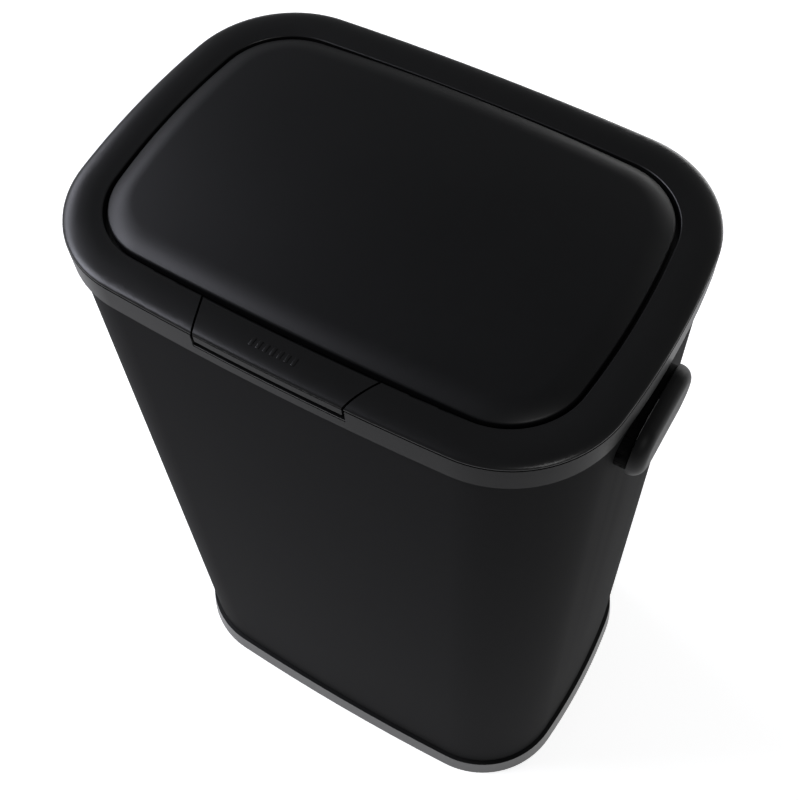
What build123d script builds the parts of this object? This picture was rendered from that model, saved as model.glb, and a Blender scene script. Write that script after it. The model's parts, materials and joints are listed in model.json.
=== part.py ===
from build123d import *
import math
import os

# Outline seen from above: a rounded rectangle whose four sides bow outwards
HALF_WIDTH = 205.0
HALF_DEPTH = 144.5
CORNER_RADIUS = 82.0
SIDE_BOW_RADIUS = 620.0
FRONT_BOW_RADIUS = 2400.0

# Heights of the stacked pieces
FOOT_DROP = 1.0
PLINTH_HEIGHT = 20.0
BODY_HEIGHT = 600.0
BAND_HEIGHT = 20.8
BAND_OVERLAP = 5.5
PARTING_GAP = 0.5
CROWN_RISE = 3.5
LIP_DROP = 1.5
LIP_RADIUS = 1.2

# Walls and general clearances
SEAT = 0.2
WALL = 2.5
SHEET = 1.2
BAND_WALL = 2.6
EDGE = 0.4

# Base plinth
PLINTH_DRAFT = 2.5
PLINTH_REACH = 0.1
DECK_THICKNESS = 2.5
PLINTH_RIB_DEPTH = 9.0
PLINTH_RIB_SPACING = 62.0
FOOT_RADIUS = 13.0
FOOT_THICKNESS = 4.0
FOOT_RECESS = 2.0

# Body shell
BODY_INSET = 3.6
FLANGE_WIDTH = 12.0

# Collar band, its web over the body's edge and its sleeve inside the body
WEB_THICKNESS = 2.3
SLEEVE_DEPTH = 26.0
SLEEVE_GAP = 0.3
NOTCH_HALF_WIDTH = 56.0

# Lid frame
SHOULDER_WIDTH = 12.0
RIM_WIDTH = 27.2
SKIRT_GAP = 0.4
SKIRT_DEPTH = 11.6
SKIRT_WALL = 2.2
LEDGE_WIDTH = 8.8
LEDGE_DROP = 11.3
TRAY_TOP_DROP = 11.3
TRAY_THICKNESS = 3.2
TRAY_LIP = 0.8

# Lid
LID_GAP = 2.8
LID_EDGE_RADIUS = 8.0
LID_SKIRT_RISE = 4.8
LID_SKIRT_HEIGHT = 2.2
CROWN_RADIUS_X = 3800.0
CROWN_RADIUS_Y = 2200.0
LINER_THICKNESS = 2.0
LINER_RIB_DEPTH = 3.2

# Push button
BUTTON_REAR_HALF = 65.2
BUTTON_FRONT_HALF = 55.0
BUTTON_SIDE_BULGE = 1.0
BUTTON_GAP = 0.8
BUTTON_DEPTH = 6.5
GROOVE = 0.4

# Hinge of the lid
HINGE_INSET = 17.5
HINGE_DROP = 5.0
HINGE_SPACING = 96.0
HUB_RADIUS = 4.5
PIN_RADIUS = 2.0
PIN_CLEARANCE = 0.08
ARM_WIDTH = 10.0
ARM_SIDE_GAP = 0.4
ARM_DEPTH = 20.0
ARM_THICKNESS = 5.0
ARM_REACH = 24.0
EAR_THICKNESS = 3.0
SPRING_ROOM = 8.0
SPRING_WIRE = 1.1
SPRING_TURNS = 4

# Pivot of the button and latch below it
PIVOT_INSET = 22.5
PIVOT_HUB_RADIUS = 3.4
PIVOT_DROP = 5.5
PLUNGER_INSET = 13.5
PLUNGER_DROP = 18.5
LATCH_INSET = 20.5
LATCH_DROP = 25.5
LATCH_WIDTH = 12.0
NOSE_DROP = 13.6
NOSE_HEIGHT = 2.5
NOSE_CLEARANCE = 0.5
KEEPER_INSET = 36.0
KEEPER_DROP = 16.5
KEEPER_WIDTH = 16.0

# Side handles
HANDLE_Y = -22.0
HANDLE_DROP = 59.5
GRIP_HALF_LENGTH = 42.0
GRIP_HALF_HEIGHT = 22.0
GRIP_STAND_OFF = 6.0
GRIP_THICKNESS = 10.2
GRIP_EDGE = 9.0
PLATE_MARGIN = 2.0
PLATE_THICKNESS = 5.2
POCKET_DEPTH = 12.0
POCKET_WALL = 4.0

# Screws
SCREW_RADIUS = 1.9
SCREW_HOLE = 0.1
HEAD_RADIUS = 3.6
HEAD_HEIGHT = 2.2

# Heights worked out from the values above
PLINTH_TOP = FOOT_DROP + PLINTH_HEIGHT
BODY_BOTTOM = PLINTH_TOP + SEAT
BODY_TOP = BODY_BOTTOM + BODY_HEIGHT
BAND_BOTTOM = BODY_TOP - BAND_OVERLAP
BAND_TOP = BAND_BOTTOM + BAND_HEIGHT
WEB_BOTTOM = BODY_TOP + SEAT
WEB_TOP = WEB_BOTTOM + WEB_THICKNESS
FRAME_BOTTOM = BAND_TOP + PARTING_GAP
CROWN_TOP = FRAME_BOTTOM + CROWN_RISE
LIP_TOP = CROWN_TOP - LIP_DROP
LEDGE_TOP = CROWN_TOP - LEDGE_DROP
LEDGE_BOTTOM = LEDGE_TOP - WALL
TRAY_TOP = FRAME_BOTTOM - TRAY_TOP_DROP
TRAY_BOTTOM = TRAY_TOP - TRAY_THICKNESS
LID_INSET = RIM_WIDTH + LID_GAP
LID_BOTTOM = LIP_TOP - LID_SKIRT_RISE
LID_EDGE_TOP = LID_BOTTOM + LID_SKIRT_HEIGHT + LID_EDGE_RADIUS
HINGE_Y = HALF_DEPTH - HINGE_INSET
HINGE_Z = FRAME_BOTTOM - HINGE_DROP
PIVOT_Y = PIVOT_INSET - HALF_DEPTH
PIVOT_Z = FRAME_BOTTOM - PIVOT_DROP
LATCH_Y = LATCH_INSET - HALF_DEPTH
LATCH_Z = FRAME_BOTTOM - LATCH_DROP
HANDLE_Z = FRAME_BOTTOM - HANDLE_DROP


def corner_frame():
    """Centre of a corner arc, and the unit directions in which its two ends lie."""
    side = SIDE_BOW_RADIUS - HALF_WIDTH
    front = FRONT_BOW_RADIUS - HALF_DEPTH
    side_reach = SIDE_BOW_RADIUS - CORNER_RADIUS
    front_reach = FRONT_BOW_RADIUS - CORNER_RADIUS
    apart = math.hypot(side, front)
    along = (side_reach**2 - front_reach**2 + apart**2) / (2 * apart)
    off = math.sqrt(side_reach**2 - along**2)
    centre = Vector(-side + (along * side + off * front) / apart, (off * side - along * front) / apart)
    to_side = Vector(centre.X + side, centre.Y).normalized()
    to_front = Vector(centre.X, centre.Y + front).normalized()
    return centre, to_side, to_front


def outline(inset, z=0.0):
    """Closed outline drawn in by inset: tangent arcs, starting at the middle of the right side."""
    centre, to_side, to_front = corner_frame()
    low = centre + to_side * (CORNER_RADIUS - inset)
    mid = centre + (to_side + to_front).normalized() * (CORNER_RADIUS - inset)
    high = centre + to_front * (CORNER_RADIUS - inset)
    side_centre = Vector(HALF_WIDTH - SIDE_BOW_RADIUS, 0)
    half_turn = (Vector(1, 0) + to_side).normalized()
    quarter = side_centre + half_turn * (SIDE_BOW_RADIUS - inset)
    side = Vector(HALF_WIDTH - inset, 0)
    back = Vector(0, HALF_DEPTH - inset)

    def at(point, sx, sy):
        return Vector(point.X * sx, point.Y * sy, z)

    def arc(first, middle, last):
        return ThreePointArc(at(*first), at(*middle), at(*last))

    arcs = [
        arc((side, 1, 1), (quarter, 1, 1), (low, 1, 1)),
        arc((low, 1, 1), (mid, 1, 1), (high, 1, 1)),
        arc((high, 1, 1), (back, 1, 1), (high, -1, 1)),
        arc((high, -1, 1), (mid, -1, 1), (low, -1, 1)),
        arc((low, -1, 1), (side, -1, 1), (low, -1, -1)),
        arc((low, -1, -1), (mid, -1, -1), (high, -1, -1)),
        arc((high, -1, -1), (back, 1, -1), (high, 1, -1)),
        arc((high, 1, -1), (mid, 1, -1), (low, 1, -1)),
        arc((low, 1, -1), (quarter, 1, -1), (side, 1, 1)),
    ]
    return Wire(arcs)


def ring(*edges):
    """Profile of inset and height, closed from its edges and carried once round the outline."""
    profile = make_face(edges)
    section = Plane.XZ * Pos(HALF_WIDTH, 0) * mirror(profile, about=Plane.YZ)
    return sweep(section, path=outline(0))


def band(points):
    """Straight-sided profile of inset and height, carried once round the outline."""
    return ring(*Polyline(*points, close=True).edges())


def plate(inset, bottom, top):
    """Flat plate of the outline's shape."""
    return extrude(make_face(outline(inset, bottom)), amount=top - bottom)


def cylinder_along(axis, radius, centre, length):
    """Cylinder of a length, centred at a point, along X, Y or Z."""
    turn = {"X": Rot(0, 90, 0), "Y": Rot(90, 0, 0), "Z": Rot(0, 0, 0)}[axis]
    return Pos(*centre) * turn * Cylinder(radius, length)


def block(x0, x1, y0, y1, z0, z1):
    """Straight block between two corners."""
    return Pos((x0 + x1) / 2, (y0 + y1) / 2, (z0 + z1) / 2) * Box(x1 - x0, y1 - y0, z1 - z0)


def side_profile(x0, x1, points):
    """Outline of y and z, extruded along X from x0 to x1."""
    face = make_face(Polyline(*points, close=True))
    return extrude(Plane.YZ.offset(x0) * face, amount=x1 - x0)


def screw(head, direction, length):
    """Pan-head screw: head centre on its seat, shank running along the direction."""
    way = Plane(origin=head, z_dir=direction)
    body = way * Pos(0, 0, length / 2) * Cylinder(SCREW_RADIUS, length)
    top = way * Pos(0, 0, -HEAD_HEIGHT / 2) * Cylinder(HEAD_RADIUS, HEAD_HEIGHT)
    return body + top


def coil(centre, radius, wire, turns, pitch):
    """Wound wire along X: each quarter turn is a pair of tangent arcs."""
    count = turns * 4
    rise = pitch / (2 * math.pi)

    def point(step):
        angle = step * math.pi / 2
        return Vector(rise * angle, radius * math.cos(angle), radius * math.sin(angle)) + Vector(*centre)

    def tangent(step):
        angle = step * math.pi / 2
        return Vector(rise, -radius * math.sin(angle), radius * math.cos(angle)).normalized()

    arcs = []
    for step in range(count):
        start, end = point(step), point(step + 1)
        first, last = tangent(step), tangent(step + 1)
        chord = end - start
        both = chord.dot(first + last)
        spread = 2 * (1 - first.dot(last))
        reach = (-both + math.sqrt(both**2 + spread * chord.dot(chord))) / spread
        joint = (start + end + (first - last) * reach) * 0.5
        turned = (end - last * reach - start - first * reach).normalized()
        arcs.append(TangentArc(start, joint, tangent=first))
        arcs.append(TangentArc(joint, end, tangent=turned))
    path = Wire(arcs)
    section = Plane(origin=path @ 0, z_dir=tangent(0)) * RegularPolygon(wire / 2, 6)
    return sweep(section, path=path)


def side_x(inset, y):
    """Distance from the middle to the right side's bowed face, at a depth y."""
    return HALF_WIDTH - SIDE_BOW_RADIUS + math.sqrt((SIDE_BOW_RADIUS - inset)**2 - y**2)


def back_y(inset, x):
    """Distance from the middle to the bowed back, at a distance x to the side."""
    return HALF_DEPTH - FRONT_BOW_RADIUS + math.sqrt((FRONT_BOW_RADIUS - inset)**2 - x**2)


# Base plinth, its feet and the body standing on it
FLANGE_END = BODY_INSET + FLANGE_WIDTH
BASE_SCREW_INSET = BODY_INSET + FLANGE_WIDTH - 5.0
DECK_BOTTOM = PLINTH_TOP - DECK_THICKNESS
FOOT_X = HALF_WIDTH - 62.0
FOOT_Y = HALF_DEPTH - 42.0
FOOT_TOP = FOOT_THICKNESS


def base_screw_points():
    """Places of the screws that hold the body's flange: four at the corners, two at the sides."""
    centre, to_side, to_front = corner_frame()
    corner = centre + (to_side + to_front).normalized() * (CORNER_RADIUS - BASE_SCREW_INSET)
    points = [(corner.X * sx, corner.Y * sy) for sx in (-1, 1) for sy in (-1, 1)]
    side = HALF_WIDTH - BASE_SCREW_INSET
    return points + [(side, 0), (-side, 0)]


def make_base_plinth():
    """Drafted skirt, deck and ribs in one moulding, with bosses for the feet."""
    skirt = band([
        (-PLINTH_REACH - PLINTH_DRAFT, FOOT_DROP), (-PLINTH_REACH, PLINTH_TOP), (2 * WALL, PLINTH_TOP),
        (2 * WALL, DECK_BOTTOM), (WALL - PLINTH_REACH, DECK_BOTTOM),
        (WALL - PLINTH_REACH - PLINTH_DRAFT, FOOT_DROP)])
    body = skirt + plate(WALL, DECK_BOTTOM, PLINTH_TOP)
    locator = FLANGE_END + SLEEVE_GAP
    body += band([(locator, DECK_BOTTOM), (locator, PLINTH_TOP + WALL), (locator + WALL, PLINTH_TOP + WALL),
                  (locator + WALL, DECK_BOTTOM)])
    rib_bottom = DECK_BOTTOM - PLINTH_RIB_DEPTH
    space = plate(0.0, rib_bottom, DECK_BOTTOM + EDGE)
    count_x = int(HALF_WIDTH // PLINTH_RIB_SPACING)
    for step in range(-count_x, count_x + 1):
        x = step * PLINTH_RIB_SPACING
        body += space & block(x - SHEET, x + SHEET, -HALF_DEPTH, HALF_DEPTH, rib_bottom, DECK_BOTTOM)
    count_y = int(HALF_DEPTH // PLINTH_RIB_SPACING)
    for step in range(-count_y, count_y + 1):
        y = step * PLINTH_RIB_SPACING
        body += space & block(-HALF_WIDTH, HALF_WIDTH, y - SHEET, y + SHEET, rib_bottom, DECK_BOTTOM)
    for sx in (-1, 1):
        for sy in (-1, 1):
            seat = FOOT_TOP - FOOT_RECESS
            height = DECK_BOTTOM - seat
            boss = cylinder_along("Z", FOOT_RADIUS + WALL, (sx * FOOT_X, sy * FOOT_Y, seat + height / 2), height)
            recess = FOOT_RECESS + SEAT
            body += boss
            body -= cylinder_along("Z", FOOT_RADIUS + SEAT, (sx * FOOT_X, sy * FOOT_Y, seat + recess / 2), recess)
    for x, y in base_screw_points():
        body -= cylinder_along("Z", HEAD_RADIUS + 1, (x, y, DECK_BOTTOM - PLINTH_RIB_DEPTH), 2 * PLINTH_RIB_DEPTH)
        body -= cylinder_along("Z", SCREW_RADIUS + SCREW_HOLE, (x, y, PLINTH_TOP), 4 * DECK_THICKNESS)
    return body


def make_foot(sx, sy):
    """Rubber pad with a rounded tread, pressed into its recess."""
    pad = cylinder_along("Z", FOOT_RADIUS, (sx * FOOT_X, sy * FOOT_Y, FOOT_TOP / 2), FOOT_TOP)
    return chamfer(pad.edges().group_by(Axis.Z)[0], EDGE)


def make_base_screws():
    """Screws from under the deck into the body's flange."""
    length = DECK_THICKNESS + SEAT + 3 * SHEET
    return [screw((x, y, DECK_BOTTOM - EDGE / 2), (0, 0, 1), length) for x, y in base_screw_points()]


def make_body_shell():
    """Straight sheet wall with a flange turned in at the bottom."""
    inner = BODY_INSET + SHEET
    bend = 2 * SHEET
    edges = [
        Line((BODY_INSET, BODY_BOTTOM + bend), (BODY_INSET, BODY_TOP)),
        Line((BODY_INSET, BODY_TOP), (inner, BODY_TOP)),
        Line((inner, BODY_TOP), (inner, BODY_BOTTOM + bend)),
        RadiusArc((inner, BODY_BOTTOM + bend), (BODY_INSET + bend, BODY_BOTTOM + SHEET), -SHEET),
        Line((BODY_INSET + bend, BODY_BOTTOM + SHEET), (FLANGE_END, BODY_BOTTOM + SHEET)),
        Line((FLANGE_END, BODY_BOTTOM + SHEET), (FLANGE_END, BODY_BOTTOM)),
        Line((FLANGE_END, BODY_BOTTOM), (BODY_INSET + bend, BODY_BOTTOM)),
        RadiusArc((BODY_INSET + bend, BODY_BOTTOM), (BODY_INSET, BODY_BOTTOM + bend), bend)]
    body = ring(*edges)
    for x, y in base_screw_points():
        body -= cylinder_along("Z", SCREW_RADIUS + SCREW_HOLE, (x, y, BODY_BOTTOM), 6 * SHEET)
    for x, y, z in collar_screw_points():
        body -= drill(x, y, z, BODY_INSET, 2 * FLANGE_WIDTH)
    for side in (-1, 1):
        for y in HANDLE_SCREW_YS:
            x = side * side_x(BODY_INSET, y)
            body -= cylinder_along("X", SCREW_RADIUS + SCREW_HOLE, (x, y, HANDLE_Z), 2 * FLANGE_WIDTH)
    return body


# Collar band round the top of the body
SLEEVE_OUTER = BODY_INSET + SHEET + SLEEVE_GAP
SLEEVE_INNER = SLEEVE_OUTER + WALL
SLEEVE_BOTTOM = WEB_BOTTOM - SLEEVE_DEPTH
COLLAR_SCREW_Z = BAND_BOTTOM + SCREW_RADIUS + 0.6
NOTCH_BOTTOM = TRAY_TOP - TRAY_LIP - 0.4


def collar_screw_points():
    """Places on the sleeve's inner face, two on each side of the bin."""
    points = []
    for sign in (-1, 1):
        for y in (-HALF_DEPTH / 4, HALF_DEPTH / 4):
            points.append((sign * side_x(SLEEVE_INNER, y), y, COLLAR_SCREW_Z))
    return points


def drill(x, y, z, inset, length):
    """Cutter for a screw hole through a side wall."""
    side = 1 if x > 0 else -1
    return cylinder_along("X", SCREW_RADIUS + SCREW_HOLE, (side * side_x(inset, y), y, z), length)


def make_collar_band():
    """Outer band, web over the body's edge and sleeve inside the body, notched for the button."""
    body = band([
        (EDGE, BAND_BOTTOM), (0, BAND_BOTTOM + EDGE), (0, BAND_TOP - EDGE), (EDGE, BAND_TOP),
        (BAND_WALL, BAND_TOP), (BAND_WALL, WEB_TOP), (SLEEVE_INNER, WEB_TOP), (SLEEVE_INNER, SLEEVE_BOTTOM),
        (SLEEVE_OUTER, SLEEVE_BOTTOM), (SLEEVE_OUTER, WEB_BOTTOM), (BAND_WALL, WEB_BOTTOM),
        (BAND_WALL, BAND_BOTTOM)])
    body -= block(-NOTCH_HALF_WIDTH, NOTCH_HALF_WIDTH, -HALF_DEPTH - WALL, -HALF_DEPTH + 3 * BAND_WALL,
                  NOTCH_BOTTOM, BAND_TOP + WALL)
    for x, y, z in collar_screw_points():
        side = 1 if x > 0 else -1
        hole = Pos(x - side * FLANGE_WIDTH / 2, y, z) * Rot(0, 90, 0)
        body -= hole * Cylinder(SCREW_RADIUS + SCREW_HOLE, FLANGE_WIDTH + 2 * WALL + 2 * SLEEVE_GAP)
    return body


def make_collar_screws():
    """Short screws through the sleeve into the body's wall, hidden behind the band."""
    length = WALL + SLEEVE_GAP + SHEET + SEAT
    screws = []
    for x, y, z in collar_screw_points():
        side = 1 if x > 0 else -1
        seat = side_x(SLEEVE_INNER, abs(y) + HEAD_RADIUS) - SEAT
        screws.append(screw((side * seat, y, z), (side, 0, 0), length))
    return screws


# Lid frame with the button's opening
FRAME_EDGE = 0.3
SKIRT_OUTER = BAND_WALL + SKIRT_GAP
SKIRT_INNER = SKIRT_OUTER + SKIRT_WALL
SKIRT_BOTTOM = FRAME_BOTTOM - SKIRT_DEPTH
LEDGE_END = RIM_WIDTH + LEDGE_WIDTH
CHEEK_WALL = 2.2
NOSE_WINDOW = LATCH_WIDTH / 2 + 2.5
KEEPER_WINDOW = KEEPER_WIDTH / 2 + 2.0
TRAY_STEP = SLEEVE_INNER + 0.6
ARM_XS = (-HINGE_SPACING, HINGE_SPACING)
SLOT_HALF = ARM_WIDTH / 2 + 2.0
SLOT_TOP = LIP_TOP - 3.0


def crown_edges(start_inset, end_inset, rounded):
    """Top line of the frame: an elliptical shoulder, a gentle fall and a rounded or bevelled lip."""
    shoulder = EllipticalCenterArc((SHOULDER_WIDTH, FRAME_BOTTOM), SHOULDER_WIDTH - start_inset, CROWN_RISE,
                                   start_angle=90, arc_size=90)
    fall = TangentArc((SHOULDER_WIDTH, CROWN_TOP), (end_inset - LIP_RADIUS, LIP_TOP), tangent=(1, 0))
    bulge = LIP_RADIUS * (1 - math.sqrt(0.5))
    lip = ThreePointArc((end_inset - LIP_RADIUS, LIP_TOP), (end_inset - bulge, LIP_TOP - bulge),
                        (end_inset, LIP_TOP - LIP_RADIUS))
    bevel = Line((end_inset - LIP_RADIUS, LIP_TOP), (end_inset, LIP_TOP - LIP_RADIUS))
    return [shoulder, fall, lip if rounded else bevel]


def button_plan(grow, bottom, top):
    """Block of the button's plan: narrower at the front, with slightly hollow sides."""
    rear_y = RIM_WIDTH + LEDGE_WIDTH / 2 - HALF_DEPTH
    front_y = -HALF_DEPTH - LEDGE_WIDTH
    slope = (BUTTON_REAR_HALF - BUTTON_FRONT_HALF) / RIM_WIDTH
    rear = BUTTON_REAR_HALF + slope * LEDGE_WIDTH / 2 + grow
    front = BUTTON_FRONT_HALF - slope * LEDGE_WIDTH + grow
    middle = (rear + front) / 2 - BUTTON_SIDE_BULGE
    middle_y = (rear_y + front_y) / 2
    edges = [
        Line((-rear, rear_y), (rear, rear_y)),
        ThreePointArc((rear, rear_y), (middle, middle_y), (front, front_y)),
        Line((front, front_y), (-front, front_y)),
        ThreePointArc((-front, front_y), (-middle, middle_y), (-rear, rear_y))]
    return extrude(Pos(0, 0, bottom) * make_face(edges), amount=top - bottom)


def make_lid_frame():
    """Moulded ring over the collar, with the lid's ledge, the button's tray and the hinge slots."""
    corner = Vector(FRAME_EDGE, FRAME_BOTTOM)
    low = [
        (RIM_WIDTH, LIP_TOP - LIP_RADIUS), (RIM_WIDTH, LEDGE_TOP), (LEDGE_END, LEDGE_TOP), (LEDGE_END, LEDGE_BOTTOM),
        (RIM_WIDTH - WALL, LEDGE_BOTTOM), (RIM_WIDTH - WALL, LIP_TOP - WALL), (SHOULDER_WIDTH, CROWN_TOP - WALL),
        (SKIRT_INNER, FRAME_BOTTOM + SEAT), (SKIRT_INNER, SKIRT_BOTTOM), (SKIRT_OUTER, SKIRT_BOTTOM),
        (SKIRT_OUTER, FRAME_BOTTOM), (corner.X, corner.Y)]
    body = ring(*crown_edges(FRAME_EDGE, RIM_WIDTH, True), *Polyline(*low).edges())
    high = CROWN_TOP + WALL
    opening = band([
        (-WALL, TRAY_TOP), (RIM_WIDTH - WALL - EDGE, TRAY_TOP), (RIM_WIDTH - WALL - EDGE, LEDGE_TOP),
        (RIM_WIDTH + EDGE, LEDGE_TOP), (RIM_WIDTH + EDGE, high), (-WALL, high)])
    body -= opening & button_plan(BUTTON_GAP, TRAY_TOP, high)
    cheek_band = band([
        (SKIRT_OUTER, NOTCH_BOTTOM + EDGE), (TRAY_STEP, NOTCH_BOTTOM + EDGE), (TRAY_STEP, TRAY_BOTTOM),
        (RIM_WIDTH, TRAY_BOTTOM), (RIM_WIDTH, FRAME_BOTTOM + EDGE), (SKIRT_OUTER, FRAME_BOTTOM + EDGE)])
    outside = button_plan(BUTTON_GAP + CHEEK_WALL, TRAY_BOTTOM, high)
    inside = button_plan(BUTTON_GAP, TRAY_BOTTOM - WALL, high + WALL)
    body += (cheek_band & outside) - inside
    tray = band([
        (FRAME_EDGE, TRAY_TOP - TRAY_LIP), (TRAY_STEP, TRAY_TOP - TRAY_LIP), (TRAY_STEP, TRAY_BOTTOM),
        (RIM_WIDTH, TRAY_BOTTOM), (RIM_WIDTH, LEDGE_TOP), (RIM_WIDTH - WALL, LEDGE_TOP),
        (RIM_WIDTH - WALL, TRAY_TOP), (FRAME_EDGE, TRAY_TOP)])
    tray = tray & button_plan(BUTTON_GAP + EDGE, TRAY_BOTTOM - WALL, high)
    behind_band = SKIRT_OUTER + 1.0 - HALF_DEPTH
    tray -= block(-HALF_WIDTH, -NOTCH_HALF_WIDTH + EDGE, -HALF_DEPTH - 1, behind_band, 0, high)
    tray -= block(NOTCH_HALF_WIDTH - EDGE, HALF_WIDTH, -HALF_DEPTH - 1, behind_band, 0, high)
    body += tray
    front = -HALF_DEPTH
    body -= block(-NOSE_WINDOW, NOSE_WINDOW, front + TRAY_STEP + 0.6, front + LEDGE_END + 1,
                  TRAY_BOTTOM - 1, LEDGE_TOP + 1)
    body -= block(-KEEPER_WINDOW, KEEPER_WINDOW, front + RIM_WIDTH, front + LEDGE_END + 1,
                  TRAY_BOTTOM - 1, LEDGE_TOP + 1)
    for x in ARM_XS:
        body -= block(x - SLOT_HALF, x + SLOT_HALF, HALF_DEPTH - LEDGE_END - WALL * 2,
                      HALF_DEPTH - RIM_WIDTH + WALL + 1, LEDGE_BOTTOM - 1, SLOT_TOP)
    for x, y in bracket_screw_points():
        post = HINGE_PLATE_TOP + SEAT
        height = CROWN_TOP - WALL / 2 - post
        body += cylinder_along("Z", HEAD_RADIUS, (x, y, post + height / 2), height)
        body -= cylinder_along("Z", SCREW_RADIUS + SCREW_HOLE, (x, y, post), 3.0)
    for x in (-LATCH_SCREW_X, LATCH_SCREW_X):
        body -= cylinder_along("Z", SCREW_RADIUS + SCREW_HOLE, (x, LATCH_Y, TRAY_BOTTOM), 2 * TRAY_THICKNESS - 1)
    for side in (-1, 1):
        body -= pivot_pin_shape(side, SCREW_HOLE / 2)
    return body


# Hinge brackets, pins, springs and arms
HINGE_PLATE_TOP = HINGE_Z + HUB_RADIUS + EDGE
HINGE_PLATE_THICKNESS = WALL - EDGE
HINGE_PLATE_FRONT = HINGE_Y + HUB_RADIUS + 1.0
EAR_NEAR = ARM_WIDTH / 2 + ARM_SIDE_GAP
EAR_FAR = EAR_NEAR + SPRING_ROOM
BRACKET_TAB = 12.0
HINGE_PLATE_BACK = back_y(SKIRT_INNER, HINGE_SPACING + EAR_FAR + EAR_THICKNESS + BRACKET_TAB) - 0.6


def bracket_ends(x):
    """Lowest and highest x of a bracket's two ears: the spring's room is on the outer side."""
    side = 1 if x > 0 else -1
    near = x - side * (EAR_NEAR + EAR_THICKNESS)
    far = x + side * (EAR_FAR + EAR_THICKNESS)
    return min(near, far), max(near, far)


def bracket_screw_points():
    """Places of the screws at both ends of each hinge bracket."""
    y = HINGE_Y + PIN_RADIUS
    points = []
    for x in ARM_XS:
        low, high = bracket_ends(x)
        points += [(low - BRACKET_TAB / 2, y), (high + BRACKET_TAB / 2, y)]
    return points


def make_hinge_bracket(x):
    """Plate under the frame's top wall with two ears that hold the hinge pin."""
    low, high = bracket_ends(x)
    thickness = HINGE_PLATE_THICKNESS
    body = block(low, high, HINGE_PLATE_FRONT, HINGE_PLATE_BACK, HINGE_PLATE_TOP - thickness, HINGE_PLATE_TOP)
    for start, end in ((low - BRACKET_TAB, low), (high, high + BRACKET_TAB)):
        body += block(start, end, HINGE_Y - HUB_RADIUS, HINGE_PLATE_BACK, HINGE_PLATE_TOP - thickness,
                      HINGE_PLATE_TOP)
    for start, end in ((low, low + EAR_THICKNESS), (high - EAR_THICKNESS, high)):
        ear = cylinder_along("X", HUB_RADIUS, ((start + end) / 2, HINGE_Y, HINGE_Z), end - start)
        ear += side_profile(start, end, [
            (HINGE_Y, HINGE_Z - HUB_RADIUS), (HINGE_PLATE_BACK, HINGE_PLATE_TOP - thickness - 1),
            (HINGE_PLATE_BACK, HINGE_PLATE_TOP), (HINGE_Y, HINGE_Z + HUB_RADIUS)])
        body += ear
    body -= cylinder_along("X", PIN_RADIUS + PIN_CLEARANCE / 2, ((low + high) / 2, HINGE_Y, HINGE_Z), high - low + 2)
    for sx, sy in bracket_screw_points():
        body -= cylinder_along("Z", SCREW_RADIUS + SCREW_HOLE, (sx, sy, HINGE_PLATE_TOP), 4 * WALL)
    return body


def make_bracket_screws():
    """Screws from below through the brackets into the frame's posts."""
    z = HINGE_PLATE_TOP - HINGE_PLATE_THICKNESS - SEAT
    return [screw((x, y, z), (0, 0, 1), HINGE_PLATE_THICKNESS + 1.4) for x, y in bracket_screw_points()]


def make_hinge_pin(x):
    """Steel pin with a domed head at each end."""
    low, high = bracket_ends(x)
    pin = cylinder_along("X", PIN_RADIUS, ((low + high) / 2, HINGE_Y, HINGE_Z), high - low + 2 * SEAT + 2)
    for end in (low - SEAT - 0.5, high + SEAT + 0.5):
        head = cylinder_along("X", PIN_RADIUS + 0.6, (end, HINGE_Y, HINGE_Z), 1.0)
        pin += head
    return pin


def make_hinge_spring(x):
    """Torsion spring round the pin, between the arm and the outer ear."""
    side = 1 if x > 0 else -1
    pitch = (SPRING_ROOM - 2 * EDGE - SPRING_WIRE) / SPRING_TURNS
    start = x + EAR_NEAR + EDGE + SPRING_WIRE / 2 if side > 0 else x - EAR_FAR + EDGE + SPRING_WIRE / 2
    return coil((start, HINGE_Y, HINGE_Z), PIN_RADIUS + EDGE + SPRING_WIRE / 2, SPRING_WIRE, SPRING_TURNS, pitch)


LINER_BOTTOM = LID_BOTTOM + SEAT
LINER_TOP = LINER_BOTTOM + LINER_THICKNESS
LINER_INSET = LID_INSET + WALL + EDGE
FLANGE_LENGTH = 26.0
ARM_TOP = LINER_BOTTOM - SEAT
ARM_FLANGE_FRONT = HINGE_Y - ARM_REACH - FLANGE_LENGTH


def arm_screw_points():
    """Two screws through each arm's flange."""
    points = []
    for x in ARM_XS:
        points += [(x, ARM_FLANGE_FRONT + 6.0), (x, ARM_FLANGE_FRONT + 18.0)]
    return points


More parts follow.
